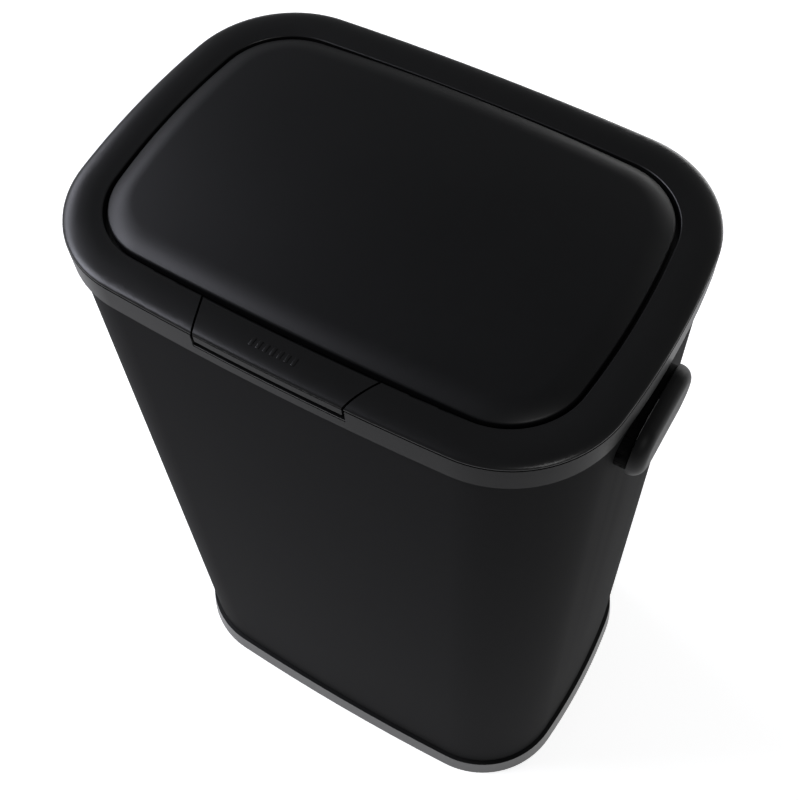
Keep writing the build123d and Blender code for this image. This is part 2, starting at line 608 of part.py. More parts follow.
def make_hinge_arm(x):
    """Gooseneck arm: a hub on the pin, a leg that dips under the frame's lip, and a flange on the lid."""
    low, high = x - ARM_WIDTH / 2, x + ARM_WIDTH / 2
    leg = HUB_RADIUS - 0.5
    neck = leg - ARM_THICKNESS - 1.5
    foot = ARM_DEPTH - ARM_THICKNESS - 0.5
    points = [
        (leg, 0), (leg, -ARM_DEPTH + 4), (leg - 4, -ARM_DEPTH), (-ARM_REACH + 4, -ARM_DEPTH),
        (-ARM_REACH, -ARM_DEPTH + 4), (-ARM_REACH, ARM_TOP - HINGE_Z - 3.0),
        (ARM_FLANGE_FRONT - HINGE_Y, ARM_TOP - HINGE_Z - 3.0), (ARM_FLANGE_FRONT - HINGE_Y, ARM_TOP - HINGE_Z),
        (-ARM_REACH + ARM_THICKNESS + 0.5, ARM_TOP - HINGE_Z), (-ARM_REACH + ARM_THICKNESS + 0.5, -foot - 2),
        (-ARM_REACH + ARM_THICKNESS + 2.5, -foot), (neck - 2, -foot), (neck, -foot + 2), (neck, 0)]
    body = side_profile(low, high, [(HINGE_Y + y, HINGE_Z + z) for y, z in points])
    body += cylinder_along("X", HUB_RADIUS, (x, HINGE_Y, HINGE_Z), ARM_WIDTH)
    body -= cylinder_along("X", PIN_RADIUS + PIN_CLEARANCE, (x, HINGE_Y, HINGE_Z), 2 * ARM_WIDTH)
    for sx, sy in arm_screw_points():
        body -= cylinder_along("Z", SCREW_RADIUS + SCREW_HOLE, (sx, sy, ARM_TOP), 4 * WALL)
    return body


def make_arm_screws():
    """Screws through the arms' flanges into the liner."""
    return [screw((x, y, ARM_TOP - 3.0 - SEAT), (0, 0, 1), 3.0 + 2 * SEAT + LINER_THICKNESS)
            for x, y in arm_screw_points()]


# Lid: crowned panel and the liner inside it
CROWN_APEX = LID_EDGE_TOP + (HALF_WIDTH - LID_INSET - LID_EDGE_RADIUS)**2 / (2 * CROWN_RADIUS_X) + EDGE
PANEL_UNDER = CROWN_APEX - WALL


def crown_block(apex, low):
    """Block with a doubly crowned top: an arc over the depth, turned about a far axis over the width."""
    half = HALF_DEPTH
    sag = CROWN_RADIUS_Y - math.sqrt(CROWN_RADIUS_Y**2 - half**2)
    arc = ThreePointArc((-half, apex - sag), (0, apex), (half, apex - sag))
    rest = Polyline((half, apex - sag), (half, low), (-half, low), (-half, apex - sag))
    section = Plane.YZ * make_face([arc, *rest.edges()])
    sweep_angle = 2 * math.degrees(math.asin(HALF_WIDTH / CROWN_RADIUS_X))
    axis = Axis((0, 0, apex - CROWN_RADIUS_X), (0, 1, 0))
    return revolve(section.rotate(axis, -sweep_angle / 2), axis=axis, revolution_arc=sweep_angle)


def pillow(inset, apex, low, radius):
    """Crowned block of the lid's outline with its upper edge rounded."""
    body = plate(inset, low, apex + 1) & crown_block(apex, low - 4 * WALL)
    top = body.faces().sort_by(Axis.Z)[-1]
    return fillet(top.outer_wire().edges(), radius)


def lid_screw_points():
    """Places of the screws that join liner and panel."""
    x = HALF_WIDTH - LID_INSET - 4 * LID_EDGE_RADIUS
    y = HALF_DEPTH - LID_INSET - 5 * LID_EDGE_RADIUS
    return [(sx * x, sy * y) for sx in (-1, 0, 1) for sy in (-1, 1)]


def make_lid_panel():
    """Outer shell of the lid with bosses for the liner's screws."""
    outer = pillow(LID_INSET, CROWN_APEX, LID_BOTTOM, LID_EDGE_RADIUS)
    inner = pillow(LID_INSET + WALL, PANEL_UNDER, LID_BOTTOM - 1, LID_EDGE_RADIUS - WALL)
    posts = []
    for x, y in lid_screw_points():
        height = CROWN_APEX - LINER_TOP - SEAT
        posts.append(cylinder_along("Z", HEAD_RADIUS, (x, y, LINER_TOP + SEAT + height / 2), height))
    solid = crown_block(CROWN_APEX - WALL / 2, LID_BOTTOM - 4 * WALL)
    body = outer - inner
    for post in posts:
        body += post & solid
    for x, y in lid_screw_points():
        body -= cylinder_along("Z", SCREW_RADIUS + SCREW_HOLE, (x, y, LINER_TOP), 2 * 5.0)
    return body


def make_lid_liner():
    """Plate closing the lid from below, with a stiffening rim and room for arms and keeper."""
    body = plate(LINER_INSET, LINER_BOTTOM, LINER_TOP)
    rim = LINER_INSET + 1.0
    rib = band([(rim, LINER_BOTTOM + EDGE), (rim, LINER_BOTTOM - LINER_RIB_DEPTH),
                (rim + LINER_THICKNESS, LINER_BOTTOM - LINER_RIB_DEPTH), (rim + LINER_THICKNESS, LINER_BOTTOM + EDGE)])
    low = LINER_BOTTOM - LINER_RIB_DEPTH - 1
    for x in ARM_XS:
        rib -= block(x - SLOT_HALF, x + SLOT_HALF, 0, HALF_DEPTH, low, LINER_BOTTOM)
    half = KEEPER_WIDTH / 2 + 1
    rib -= block(-half, half, -HALF_DEPTH, 0, low, LINER_BOTTOM)
    body += rib
    for x, y in lid_screw_points() + arm_screw_points() + keeper_screw_points():
        body -= cylinder_along("Z", SCREW_RADIUS + SCREW_HOLE, (x, y, LINER_BOTTOM), 4 * LINER_THICKNESS)
    return body


def make_lid_screws():
    """Screws from below through the liner into the panel's bosses."""
    return [screw((x, y, LINER_BOTTOM - SEAT), (0, 0, 1), LINER_THICKNESS + 4.0) for x, y in lid_screw_points()]


def make_lid_bumpers():
    """Small rubber pads on the ledge under the liner's rim."""
    inset = LINER_INSET + 1.0 + LINER_THICKNESS / 2
    height = LINER_BOTTOM - LINER_RIB_DEPTH - EDGE - LEDGE_TOP
    centre, to_side, to_front = corner_frame()
    corner = centre + (to_side + to_front).normalized() * (CORNER_RADIUS - inset)
    spots = [(corner.X * sx, corner.Y * sy) for sx in (-1, 1) for sy in (-1, 1)]
    spots += [(HALF_WIDTH - inset, 0), (inset - HALF_WIDTH, 0)]
    return [cylinder_along("Z", LINER_THICKNESS / 2 + 1.0, (x, y, LEDGE_TOP + height / 2), height) for x, y in spots]


# Keeper under the lid's front edge
KEEPER_Y = KEEPER_INSET - HALF_DEPTH
KEEPER_TOP = LINER_BOTTOM - SEAT
KEEPER_BOTTOM = FRAME_BOTTOM - NOSE_DROP - EDGE - NOSE_HEIGHT - 0.5
KEEPER_TONGUE = 3.5
KEEPER_SCREW_X = 9.0


def keeper_screw_points():
    """Two screws through the keeper's foot."""
    y = KEEPER_Y + WALL + 9.0
    return [(-KEEPER_SCREW_X, y), (KEEPER_SCREW_X, y)]


def make_lid_keeper():
    """Hook plate: foot on the liner, web going down and a tongue towards the front."""
    half = KEEPER_WIDTH / 2
    body = side_profile(-half, half, [
        (KEEPER_Y, KEEPER_TOP), (KEEPER_Y, KEEPER_BOTTOM + NOSE_HEIGHT), (KEEPER_Y - KEEPER_TONGUE,
        KEEPER_BOTTOM + NOSE_HEIGHT), (KEEPER_Y - KEEPER_TONGUE, KEEPER_BOTTOM + 1.2), (KEEPER_Y - 1.5, KEEPER_BOTTOM),
        (KEEPER_Y + WALL, KEEPER_BOTTOM), (KEEPER_Y + WALL, KEEPER_TOP)])
    foot = 2 * HEAD_RADIUS + KEEPER_SCREW_X
    body += block(-foot, foot, KEEPER_Y + WALL - 0.5, KEEPER_Y + WALL + 16.0, KEEPER_TOP - WALL, KEEPER_TOP)
    for x, y in keeper_screw_points():
        body -= cylinder_along("Z", SCREW_RADIUS + SCREW_HOLE, (x, y, KEEPER_TOP), 4 * WALL)
    return body


def make_keeper_screws():
    """Screws through the keeper's foot into the liner."""
    z = KEEPER_TOP - WALL - SEAT
    return [screw((x, y, z), (0, 0, 1), WALL + LINER_THICKNESS + 2 * SEAT) for x, y in keeper_screw_points()]


# Push button, its pivot pins and the latch
BUTTON_BOTTOM = FRAME_BOTTOM - BUTTON_DEPTH
PLUNGER_Y = PLUNGER_INSET - HALF_DEPTH
PLUNGER_BOTTOM = FRAME_BOTTOM - PLUNGER_DROP
PLUNGER_HALF = 2.0
PIVOT_X = BUTTON_REAR_HALF - 1.2


def pivot_pin_shape(side, grow):
    """Short pin along X from the frame's cheek into the button's side wall."""
    length = CHEEK_WALL + BUTTON_GAP + 2 * WALL
    return cylinder_along("X", PIN_RADIUS + grow, (side * PIVOT_X, PIVOT_Y, PIVOT_Z), length)


def make_push_button():
    """Cap that carries on the frame's crown, hollow below, with pivot bosses and a plunger."""
    block_edges = Polyline((RIM_WIDTH, LIP_TOP - LIP_RADIUS), (RIM_WIDTH, BUTTON_BOTTOM), (FRAME_EDGE, BUTTON_BOTTOM),
                           (FRAME_EDGE, FRAME_BOTTOM))
    outer = ring(*crown_edges(FRAME_EDGE, RIM_WIDTH, False), *block_edges.edges())
    outer &= button_plan(0, BUTTON_BOTTOM - 1, CROWN_TOP + 1)
    low = BUTTON_BOTTOM - 1
    inner = band([
        (FRAME_EDGE + WALL, low), (FRAME_EDGE + WALL, FRAME_BOTTOM - 0.5), (SHOULDER_WIDTH, CROWN_TOP - WALL),
        (RIM_WIDTH - WALL, LIP_TOP - WALL), (RIM_WIDTH - WALL, low)])
    inner &= button_plan(-CHEEK_WALL, low - 1, CROWN_TOP + 1)
    groove = band([(-GROOVE, BAND_TOP - 2 * GROOVE), (FRAME_EDGE + GROOVE, BAND_TOP), (-GROOVE, BAND_TOP + 2 * GROOVE)])
    rib = block(-5 * PLUNGER_HALF, 5 * PLUNGER_HALF, PLUNGER_Y - EDGE, PLUNGER_Y + EDGE, BUTTON_BOTTOM,
                CROWN_TOP - WALL + EDGE)
    plunger = block(-2 * PLUNGER_HALF, 2 * PLUNGER_HALF, PLUNGER_Y - PLUNGER_HALF, PLUNGER_Y + PLUNGER_HALF,
                    PLUNGER_BOTTOM, CROWN_TOP - WALL + EDGE)
    body = outer - inner - groove + plunger + rib
    for side in (-1, 1):
        boss = cylinder_along("X", PIVOT_HUB_RADIUS, (side * (PIVOT_X - 2.5), PIVOT_Y, PIVOT_Z), 5.0)
        cap = block(-PIVOT_X, PIVOT_X, PIVOT_Y - PIVOT_HUB_RADIUS, PIVOT_Y + PIVOT_HUB_RADIUS, PIVOT_Z, LIP_TOP - 1)
        cap -= block(-PIVOT_X + 5, PIVOT_X - 5, -HALF_DEPTH, 0, PIVOT_Z - 1, CROWN_TOP)
        hub = (boss + cap) & button_plan(-CHEEK_WALL / 2, BUTTON_BOTTOM - WALL, CROWN_TOP)
        body += hub & band([(FRAME_EDGE + WALL, BUTTON_BOTTOM - WALL), (FRAME_EDGE + WALL, LIP_TOP - LIP_RADIUS),
                            (RIM_WIDTH - EDGE, LIP_TOP - LIP_RADIUS), (RIM_WIDTH - EDGE, BUTTON_BOTTOM - WALL)])
    for side in (-1, 1):
        body -= pivot_pin_shape(side, PIN_CLEARANCE)
    return body


def make_pivot_pin(side):
    """Steel pivot pin of the button."""
    return pivot_pin_shape(side, 0)


LATCH_SCREW_X = 16.5
LATCH_EAR = 2.5
LATCH_EAR_X = LATCH_WIDTH / 2 + 2.5
LATCH_PLATE_TOP = TRAY_BOTTOM - SEAT
LATCH_PLATE_BOTTOM = LATCH_PLATE_TOP - WALL


def make_latch_bracket():
    """Two ears hanging from tabs under the tray, holding the latch pin."""
    body = None
    for side in (-1, 1):
        near, far = sorted((side * LATCH_EAR_X, side * (LATCH_EAR_X + LATCH_EAR)))
        ear = side_profile(near, far, [
            (LATCH_Y - 6, LATCH_PLATE_TOP), (LATCH_Y - 3.5, LATCH_Z), (LATCH_Y + 3.5, LATCH_Z),
            (LATCH_Y + 6, LATCH_PLATE_TOP)])
        ear += cylinder_along("X", 3.8, ((near + far) / 2, LATCH_Y, LATCH_Z), LATCH_EAR)
        tab_near, tab_far = sorted((side * LATCH_EAR_X, side * (LATCH_SCREW_X + 6)))
        ear += block(tab_near, tab_far, LATCH_Y - 6, LATCH_Y + 6, LATCH_PLATE_BOTTOM, LATCH_PLATE_TOP)
        body = ear if body is None else body + ear
    floor = LATCH_Z - 6.5
    body += block(-LATCH_EAR_X - LATCH_EAR, LATCH_EAR_X + LATCH_EAR, LATCH_Y - 3, LATCH_Y + 3, floor - 1.8, floor)
    for side in (-1, 1):
        near, far = sorted((side * LATCH_EAR_X, side * (LATCH_EAR_X + LATCH_EAR)))
        body += block(near, far, LATCH_Y - 3, LATCH_Y + 3, floor - 1.8, LATCH_Z)
    body -= cylinder_along("X", PIN_RADIUS + PIN_CLEARANCE / 2, (0, LATCH_Y, LATCH_Z), 4 * LATCH_WIDTH)
    for x in (-LATCH_SCREW_X, LATCH_SCREW_X):
        body -= cylinder_along("Z", SCREW_RADIUS + SCREW_HOLE, (x, LATCH_Y, LATCH_PLATE_TOP), 4 * WALL)
    return body


def make_latch_screws():
    """Two screws from below into the tray."""
    z = LATCH_PLATE_BOTTOM - SEAT
    return [screw((x, LATCH_Y, z), (0, 0, 1), WALL + 2 * SEAT + TRAY_THICKNESS - 1)
            for x in (-LATCH_SCREW_X, LATCH_SCREW_X)]


def make_latch_lever():
    """Two-armed lever: a nose beside the keeper's tongue and a rounded end under the plunger."""
    low, high = -LATCH_WIDTH / 2 - 2, LATCH_WIDTH / 2 - 2
    nose_bottom = FRAME_BOTTOM - NOSE_DROP - EDGE
    nose_tip = KEEPER_Y - KEEPER_TONGUE - NOSE_CLEARANCE
    press_z = PLUNGER_BOTTOM - 0.3 - PLUNGER_HALF
    body = cylinder_along("X", 3.8, ((low + high) / 2, LATCH_Y, LATCH_Z), high - low)
    body += side_profile(low, high, [
        (LATCH_Y - 1.5, LATCH_Z), (LATCH_Y + 3.8, LATCH_Z), (nose_tip - 3, nose_bottom), (nose_tip, nose_bottom),
        (nose_tip, nose_bottom + 1), (nose_tip - 1.2, nose_bottom + NOSE_HEIGHT),
        (nose_tip - 6, nose_bottom + NOSE_HEIGHT)])
    body += cylinder_along("X", PLUNGER_HALF, ((low + high) / 2, PLUNGER_Y, press_z), high - low)
    body += side_profile(low, high, [
        (LATCH_Y, LATCH_Z - 3), (LATCH_Y, LATCH_Z + 3.5), (PLUNGER_Y + 1.3, press_z + 1.4),
        (PLUNGER_Y - 1.3, press_z - 1.4)])
    body -= cylinder_along("X", PIN_RADIUS + PIN_CLEARANCE, (0, LATCH_Y, LATCH_Z), 4 * LATCH_WIDTH)
    return body


def make_latch_pin():
    """Pin through the ears, headed at both ends."""
    half = LATCH_EAR_X + LATCH_EAR + SEAT
    pin = cylinder_along("X", PIN_RADIUS, (0, LATCH_Y, LATCH_Z), 2 * half + 1)
    for side in (-1, 1):
        pin += cylinder_along("X", PIN_RADIUS + 1.0, (side * (half + 0.5), LATCH_Y, LATCH_Z), 1.0)
    return pin


def make_latch_spring():
    """Torsion spring on the latch pin, beside the lever."""
    turns = 3
    start = LATCH_WIDTH / 2 - 2 + EDGE / 2 + SPRING_WIRE / 2
    pitch = (LATCH_EAR_X - EDGE / 2 - SPRING_WIRE / 2 - start) / turns
    return coil((start, LATCH_Y, LATCH_Z), PIN_RADIUS + EDGE / 2 + SPRING_WIRE / 2, SPRING_WIRE * 0.75, turns, pitch)


# Handles on the two short sides
HANDLE_SCREW_OFFSET = 34.0
HANDLE_SCREW_YS = (HANDLE_Y - HANDLE_SCREW_OFFSET, HANDLE_Y + HANDLE_SCREW_OFFSET)
POCKET_HALF = 27.0
PLATE_FACE = HALF_WIDTH - BODY_INSET + PLATE_THICKNESS
GRIP_FACE = HALF_WIDTH - BODY_INSET + GRIP_STAND_OFF
GRIP_OUTER = GRIP_FACE + GRIP_THICKNESS


def stadium(half_length, half_height, x0, x1, radius):
    """Rounded plate standing on the right side, its long way along Y."""
    face = Plane.YZ.offset(x0) * RectangleRounded(2 * half_length, 2 * half_height, radius)
    return Pos(0, HANDLE_Y, HANDLE_Z) * extrude(face, amount=x1 - x0)


def finger_pocket(x0, x1):
    """Pocket open at the bottom, for the fingers."""
    top = GRIP_HALF_HEIGHT - POCKET_WALL
    body = stadium(POCKET_HALF, top, x0, x1, POCKET_DEPTH / 2)
    return body + block(x0, x1, HANDLE_Y - POCKET_HALF, HANDLE_Y + POCKET_HALF,
                        HANDLE_Z - GRIP_HALF_HEIGHT - 2, HANDLE_Z)


def mirrored(shape, side):
    """The right-hand piece, or its mirror image for the left."""
    return shape if side > 0 else mirror(shape, about=Plane.YZ)


def handle_holes():
    """Cutters for the two screws of the right handle, from the body's wall into the grip."""
    holes = [cylinder_along("X", SCREW_RADIUS + SCREW_HOLE, (GRIP_FACE - 2, y, HANDLE_Z), 14.0)
             for y in HANDLE_SCREW_YS]
    return holes[0] + holes[1]


def make_handle_plate(side):
    """Backing plate with its rear face curved to the body's bow."""
    depth = PLATE_THICKNESS + 2 * PLATE_MARGIN + 4.0
    body = stadium(GRIP_HALF_LENGTH - PLATE_MARGIN, GRIP_HALF_HEIGHT - PLATE_MARGIN, PLATE_FACE - depth, PLATE_FACE,
                   GRIP_HALF_HEIGHT - PLATE_MARGIN - 0.1)
    wall = plate(BODY_INSET - SEAT, HANDLE_Z - 2 * GRIP_HALF_HEIGHT, HANDLE_Z + 2 * GRIP_HALF_HEIGHT)
    body = body - wall - finger_pocket(PLATE_FACE - depth - 1, PLATE_FACE + 1) - handle_holes()
    return mirrored(body, side)


def make_handle_grip(side):
    """Rounded grip with a finger pocket open at the bottom."""
    body = stadium(GRIP_HALF_LENGTH, GRIP_HALF_HEIGHT, GRIP_FACE, GRIP_OUTER, GRIP_HALF_HEIGHT - 0.1)
    body = fillet(body.faces().sort_by(Axis.X)[-1].outer_wire().edges(), GRIP_EDGE)
    body -= finger_pocket(GRIP_FACE - 1, GRIP_OUTER - POCKET_WALL)
    body -= handle_holes()
    return mirrored(body, side)


def make_handle_screws():
    """Screws from inside the body into both grips."""
    screws = []
    for side in (-1, 1):
        for y in HANDLE_SCREW_YS:
            x = side_x(BODY_INSET + SHEET, abs(y) + HEAD_RADIUS) - SEAT
            screws.append(screw((side * x, y, HANDLE_Z), (side, 0, 0), GRIP_FACE + 4 - x))
    return screws


def write(name, shape):
    """Write one named piece; a list becomes a group of separate solids."""
    if isinstance(shape, list):
        shape = Compound(children=shape)
    export_step(shape, os.path.join("parts", name + ".step"))


def main():
    """Build and write every piece."""
    os.makedirs("parts", exist_ok=True)
    for sx, across in ((-1, "left"), (1, "right")):
        for sy, along in ((-1, "front"), (1, "back")):
            write(f"foot_{along}_{across}", make_foot(sx, sy))
    write("base_plinth", make_base_plinth())
    write("base_screws", make_base_screws())
    write("body_shell", make_body_shell())
    write("collar_band", make_collar_band())
    write("collar_screws", make_collar_screws())
    write("lid_frame", make_lid_frame())
    write("lid_bumpers", make_lid_bumpers())
    write("hinge_bracket_screws", make_bracket_screws())
    write("hinge_arm_screws", make_arm_screws())
    for x, name in zip(ARM_XS, ("left", "right")):
        write(f"hinge_bracket_{name}", make_hinge_bracket(x))
        write(f"hinge_pin_{name}", make_hinge_pin(x))
        write(f"hinge_spring_{name}", make_hinge_spring(x))
        write(f"hinge_arm_{name}", make_hinge_arm(x))
    write("lid_panel", make_lid_panel())
    write("lid_liner", make_lid_liner())
    write("lid_screws", make_lid_screws())
    write("lid_keeper", make_lid_keeper())
    write("keeper_screws", make_keeper_screws())
    write("push_button", make_push_button())
    write("latch_bracket", make_latch_bracket())
    write("latch_bracket_screws", make_latch_screws())
    write("latch_lever", make_latch_lever())
    write("latch_pin", make_latch_pin())
    write("latch_spring", make_latch_spring())
    for side, name in ((-1, "left"), (1, "right")):
        write(f"button_pivot_pin_{name}", make_pivot_pin(side))
        write(f"handle_plate_{name}", make_handle_plate(side))
        write(f"handle_grip_{name}", make_handle_grip(side))
    write("handle_screws", make_handle_screws())


if __name__ == "__main__":
    main()
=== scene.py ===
"""Finishes, fine meshes, light and camera for the push-lid waste bin."""

import json
import logging
import math
from dataclasses import dataclass
from enum import Enum
from typing import Callable

import bpy
import bmesh
from mathutils import Matrix, Vector

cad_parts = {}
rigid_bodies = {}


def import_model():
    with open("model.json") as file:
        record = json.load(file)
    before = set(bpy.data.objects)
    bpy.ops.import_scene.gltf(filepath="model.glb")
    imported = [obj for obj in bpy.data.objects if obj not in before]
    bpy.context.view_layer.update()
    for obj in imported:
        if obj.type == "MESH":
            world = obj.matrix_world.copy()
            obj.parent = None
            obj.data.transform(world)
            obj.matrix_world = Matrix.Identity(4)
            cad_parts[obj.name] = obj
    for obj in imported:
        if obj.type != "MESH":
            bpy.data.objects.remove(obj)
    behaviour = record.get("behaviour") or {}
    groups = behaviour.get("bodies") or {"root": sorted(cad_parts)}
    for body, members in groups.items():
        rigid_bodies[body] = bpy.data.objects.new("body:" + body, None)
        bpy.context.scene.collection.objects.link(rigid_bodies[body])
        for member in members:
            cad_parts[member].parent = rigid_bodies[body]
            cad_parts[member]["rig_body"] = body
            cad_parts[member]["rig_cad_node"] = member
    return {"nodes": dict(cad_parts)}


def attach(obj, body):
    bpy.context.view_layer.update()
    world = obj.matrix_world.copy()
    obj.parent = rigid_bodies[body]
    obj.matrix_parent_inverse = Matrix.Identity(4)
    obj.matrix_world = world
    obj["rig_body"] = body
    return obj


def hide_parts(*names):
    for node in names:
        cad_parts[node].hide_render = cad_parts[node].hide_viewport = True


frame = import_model()
LOG = logging.getLogger("bin")
MM = 0.001
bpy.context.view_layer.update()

Triple = tuple[float, float, float]
# Says, from a face's middle in millimetres and its normal, whether the face is chosen.
Chooser = Callable[[Vector, Vector], bool]

# Degrees: faces that meet at less than this are shaded as one surface.
SMOOTH_ANGLE = 32.0
# Metres: corners that lie closer than this are one corner, in a CAD copy and in a lofted shell.
COPY_SEAM = 1e-6
SHELL_SEAM = 1e-7


@dataclass(frozen=True)
class Outline:
    """The bin's plan: a rounded rectangle whose sides bow outwards, in millimetres."""

    half_width: float = 205.0
    half_depth: float = 144.5
    corner_radius: float = 82.0
    side_bow: float = 620.0
    front_bow: float = 2400.0
    arc_steps: int = 16

    def corner(self) -> tuple[Vector, float, float]:
        """Finds a corner arc.

        Returns:
            Its centre, and the angles at which its side end and its front end lie.
        """
        side = self.side_bow - self.half_width
        front = self.front_bow - self.half_depth
        side_reach = self.side_bow - self.corner_radius
        front_reach = self.front_bow - self.corner_radius
        apart = math.hypot(side, front)
        along = (side_reach**2 - front_reach**2 + apart**2) / (2 * apart)
        off = math.sqrt(side_reach**2 - along**2)
        across = -side + (along * side + off * front) / apart
        centre = Vector((across, (off * side - along * front) / apart))
        low = math.atan2(centre.y, centre.x + side)
        high = math.atan2(centre.y + front, centre.x)
        return centre, low, high

    def quarter(self, inset: float) -> list[Vector]:
        """Points from the middle of the right side to the middle of the back.

        Args:
            inset: Distance inwards from the outline.

        Returns:
            The points, both ends included.
        """
        centre, low, high = self.corner()
        steps = self.arc_steps
        side_middle = self.half_width - self.side_bow
        back_middle = self.half_depth - self.front_bow
        arcs = (
            (side_middle, 0.0, self.side_bow, 0.0, low, steps),
            (centre.x, centre.y, self.corner_radius, low, high, steps),
            (0.0, back_middle, self.front_bow, high, math.pi / 2, steps + 1),
        )
        points: list[Vector] = []
        for x, y, radius, start, end, count in arcs:
            reach = radius - inset
            for step in range(count):
                angle = start + (end - start) * step / steps
                points.append(Vector((x + reach * math.cos(angle), y + reach * math.sin(angle))))
        return points

    def outward(self, place: Vector) -> Vector:
        """Finds the way out of the bin at a place on or inside the outline.

        Args:
            place: The place in metres.

        Returns:
            The horizontal unit direction square to the outline there.
        """
        x, y = abs(place.x) / MM, abs(place.y) / MM
        centre, low, high = self.corner()
        side = Vector((x - self.half_width + self.side_bow, y))
        front = Vector((x, y - self.half_depth + self.front_bow))
        if math.atan2(side.y, side.x) <= low:
            way = side
        elif math.atan2(front.y, front.x) >= high:
            way = front
        else:
            way = Vector((x, y)) - centre
        way.normalize()
        return Vector((math.copysign(way.x, place.x), math.copysign(way.y, place.y), 0.0))

    def loop(self, inset: float) -> list[Vector]:
        """Closed loop of points round the whole outline.

        Args:
            inset: Distance inwards from the outline.

        Returns:
            The points, anticlockwise, the first one not repeated.
        """
        quarter = self.quarter(inset)
        second = [Vector((-p.x, p.y)) for p in reversed(quarter)]
        half = quarter + second[1:]
        other = [Vector((p.x, -p.y)) for p in reversed(half)]
        return half + other[1:-1]


OUTLINE = Outline()


def deselect() -> None:
    """Leaves object mode with nothing selected."""
    if bpy.context.object and bpy.context.object.mode != "OBJECT":
        bpy.ops.object.mode_set(mode="OBJECT")
    bpy.ops.object.select_all(action="DESELECT")


def activate(piece: bpy.types.Object) -> None:
    """Selects one piece alone and makes it active.

    Args:
        piece: The object to work on.
    """
    deselect()
    piece.select_set(True)
    bpy.context.view_layer.objects.active = piece


def rename(piece: bpy.types.Object, name: str) -> None:
    """Gives a piece and its mesh one name."""
    piece.name = name
    piece.data.name = name


def smooth_by_angle(piece: bpy.types.Object, degrees: float = SMOOTH_ANGLE) -> None:
    """Shades a piece smooth where its faces meet below an angle.

    Args:
        piece: The object to shade.
        degrees: The largest angle that stays smooth.
    """
    activate(piece)
    bpy.ops.object.shade_smooth_by_angle(angle=math.radians(degrees))
    deselect()


def lofted_shell(name: str, loops: list[list[Vector]]) -> bpy.types.Object:
    """Draws a closed skin through loops of equal count, by extruding the first one on.

    Args:
        name: The piece's name.
        loops: Loops of points in millimetres, in order; the two end loops close to a point each.

    Returns:
        The new object, its place in its mesh.
    """
    deselect()
    count = len(loops[0])
    bpy.ops.mesh.primitive_circle_add(vertices=count, radius=1.0, fill_type="NOTHING")
    piece = bpy.context.object
    rename(piece, name)
    for vert, point in zip(piece.data.vertices, loops[0]):
        vert.co = point * MM
    order = list(range(count))
    bpy.ops.object.mode_set(mode="EDIT")
    bpy.ops.mesh.select_all(action="SELECT")
    for points in loops[1:]:
        bpy.ops.mesh.extrude_edges_move(TRANSFORM_OT_translate={"value": (0.0, 0.0, 0.0)})
        mesh = bmesh.from_edit_mesh(piece.data)
        mesh.verts.ensure_lookup_table()
        following = []
        for index in order:
            vert = mesh.verts[index]
            ends = (edge.other_vert(vert) for edge in vert.link_edges)
            following.append(next(end for end in ends if end.select).index)
        for index, point in zip(following, points):
            mesh.verts[index].co = point * MM
        order = following
        bmesh.update_edit_mesh(piece.data)
    bpy.ops.mesh.merge(type="CENTER")
    bpy.ops.mesh.select_all(action="DESELECT")
    mesh = bmesh.from_edit_mesh(piece.data)
    for edge in [edge for edge in mesh.edges if edge.is_boundary]:
        edge.select_set(True)
    bmesh.update_edit_mesh(piece.data)
    bpy.ops.mesh.merge(type="CENTER")
    bpy.ops.mesh.select_all(action="SELECT")
    bpy.ops.mesh.remove_doubles(threshold=SHELL_SEAM)
    bpy.ops.mesh.normals_make_consistent(inside=False)
    bpy.ops.object.mode_set(mode="OBJECT")
    deselect()
    return piece


def true_normals(piece: bpy.types.Object, limit: float = 24.0, slack: float = 0.012) -> None:
    """Gives faces that run round the bin the normals of their real curved surface.

    Args:
        piece: A piece shaded smooth by angle.
        limit: Tilts that differ by less, in degrees, belong to one rounded edge.
        slack: How far a face may turn away from the outline and still belong to it.
    """
    mesh = piece.data
    normals = [Vector(corner.vector) for corner in mesh.corner_normals]
    tilts: dict[int, float] = {}
    around: dict[int, list[float]] = {}
    for face in mesh.polygons:
        radial = face.normal.dot(OUTLINE.outward(face.center))
        if radial**2 + face.normal.z**2 > 1.0 - slack:
            tilts[face.index] = math.atan2(face.normal.z, radial)
            for vertex in face.vertices:
                around.setdefault(vertex, []).append(tilts[face.index])
    for face in mesh.polygons:
        if face.index not in tilts:
            continue
        own = tilts[face.index]
        for loop in face.loop_indices:
            vertex = mesh.loops[loop].vertex_index
            near = [tilt for tilt in around[vertex] if abs(tilt - own) < math.radians(limit)]
            tilt = (min(near) + max(near)) / 2
            out = OUTLINE.outward(mesh.vertices[vertex].co)
            normals[loop] = out * math.cos(tilt) + Vector((0.0, 0.0, math.sin(tilt)))
    mesh.normals_split_custom_set(normals)


def fine_copy(node: str) -> bpy.types.Object:
    """Copies a CAD node, merges its loose triangles and shades it smooth.

    Args:
        node: The CAD node.

    Returns:
        The copy, still without a body.
    """
    activate(frame["nodes"][node])
    bpy.ops.object.duplicate()
    piece = bpy.context.object
    rename(piece, node + "_fine")
    piece.parent = None
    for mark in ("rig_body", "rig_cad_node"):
        if mark in piece:
            del piece[mark]
    bpy.ops.object.mode_set(mode="EDIT")
    bpy.ops.mesh.select_all(action="SELECT")
    bpy.ops.mesh.remove_doubles(threshold=COPY_SEAM)
    bpy.ops.object.mode_set(mode="OBJECT")
    deselect()
    smooth_by_angle(piece)
    return piece


class Body(Enum):
    """The groups that move as one and carry pieces of this scene."""

    CAN = "can"
    FRAME = "frame"
    LID = "lid"
    BUTTON = "button"


class Slot(Enum):
    """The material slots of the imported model."""

    PAINT = "body_paint"
    PLASTIC = "black_plastic"
    INNER = "inner_plastic"
    RUBBER = "rubber"
    STEEL = "steel"


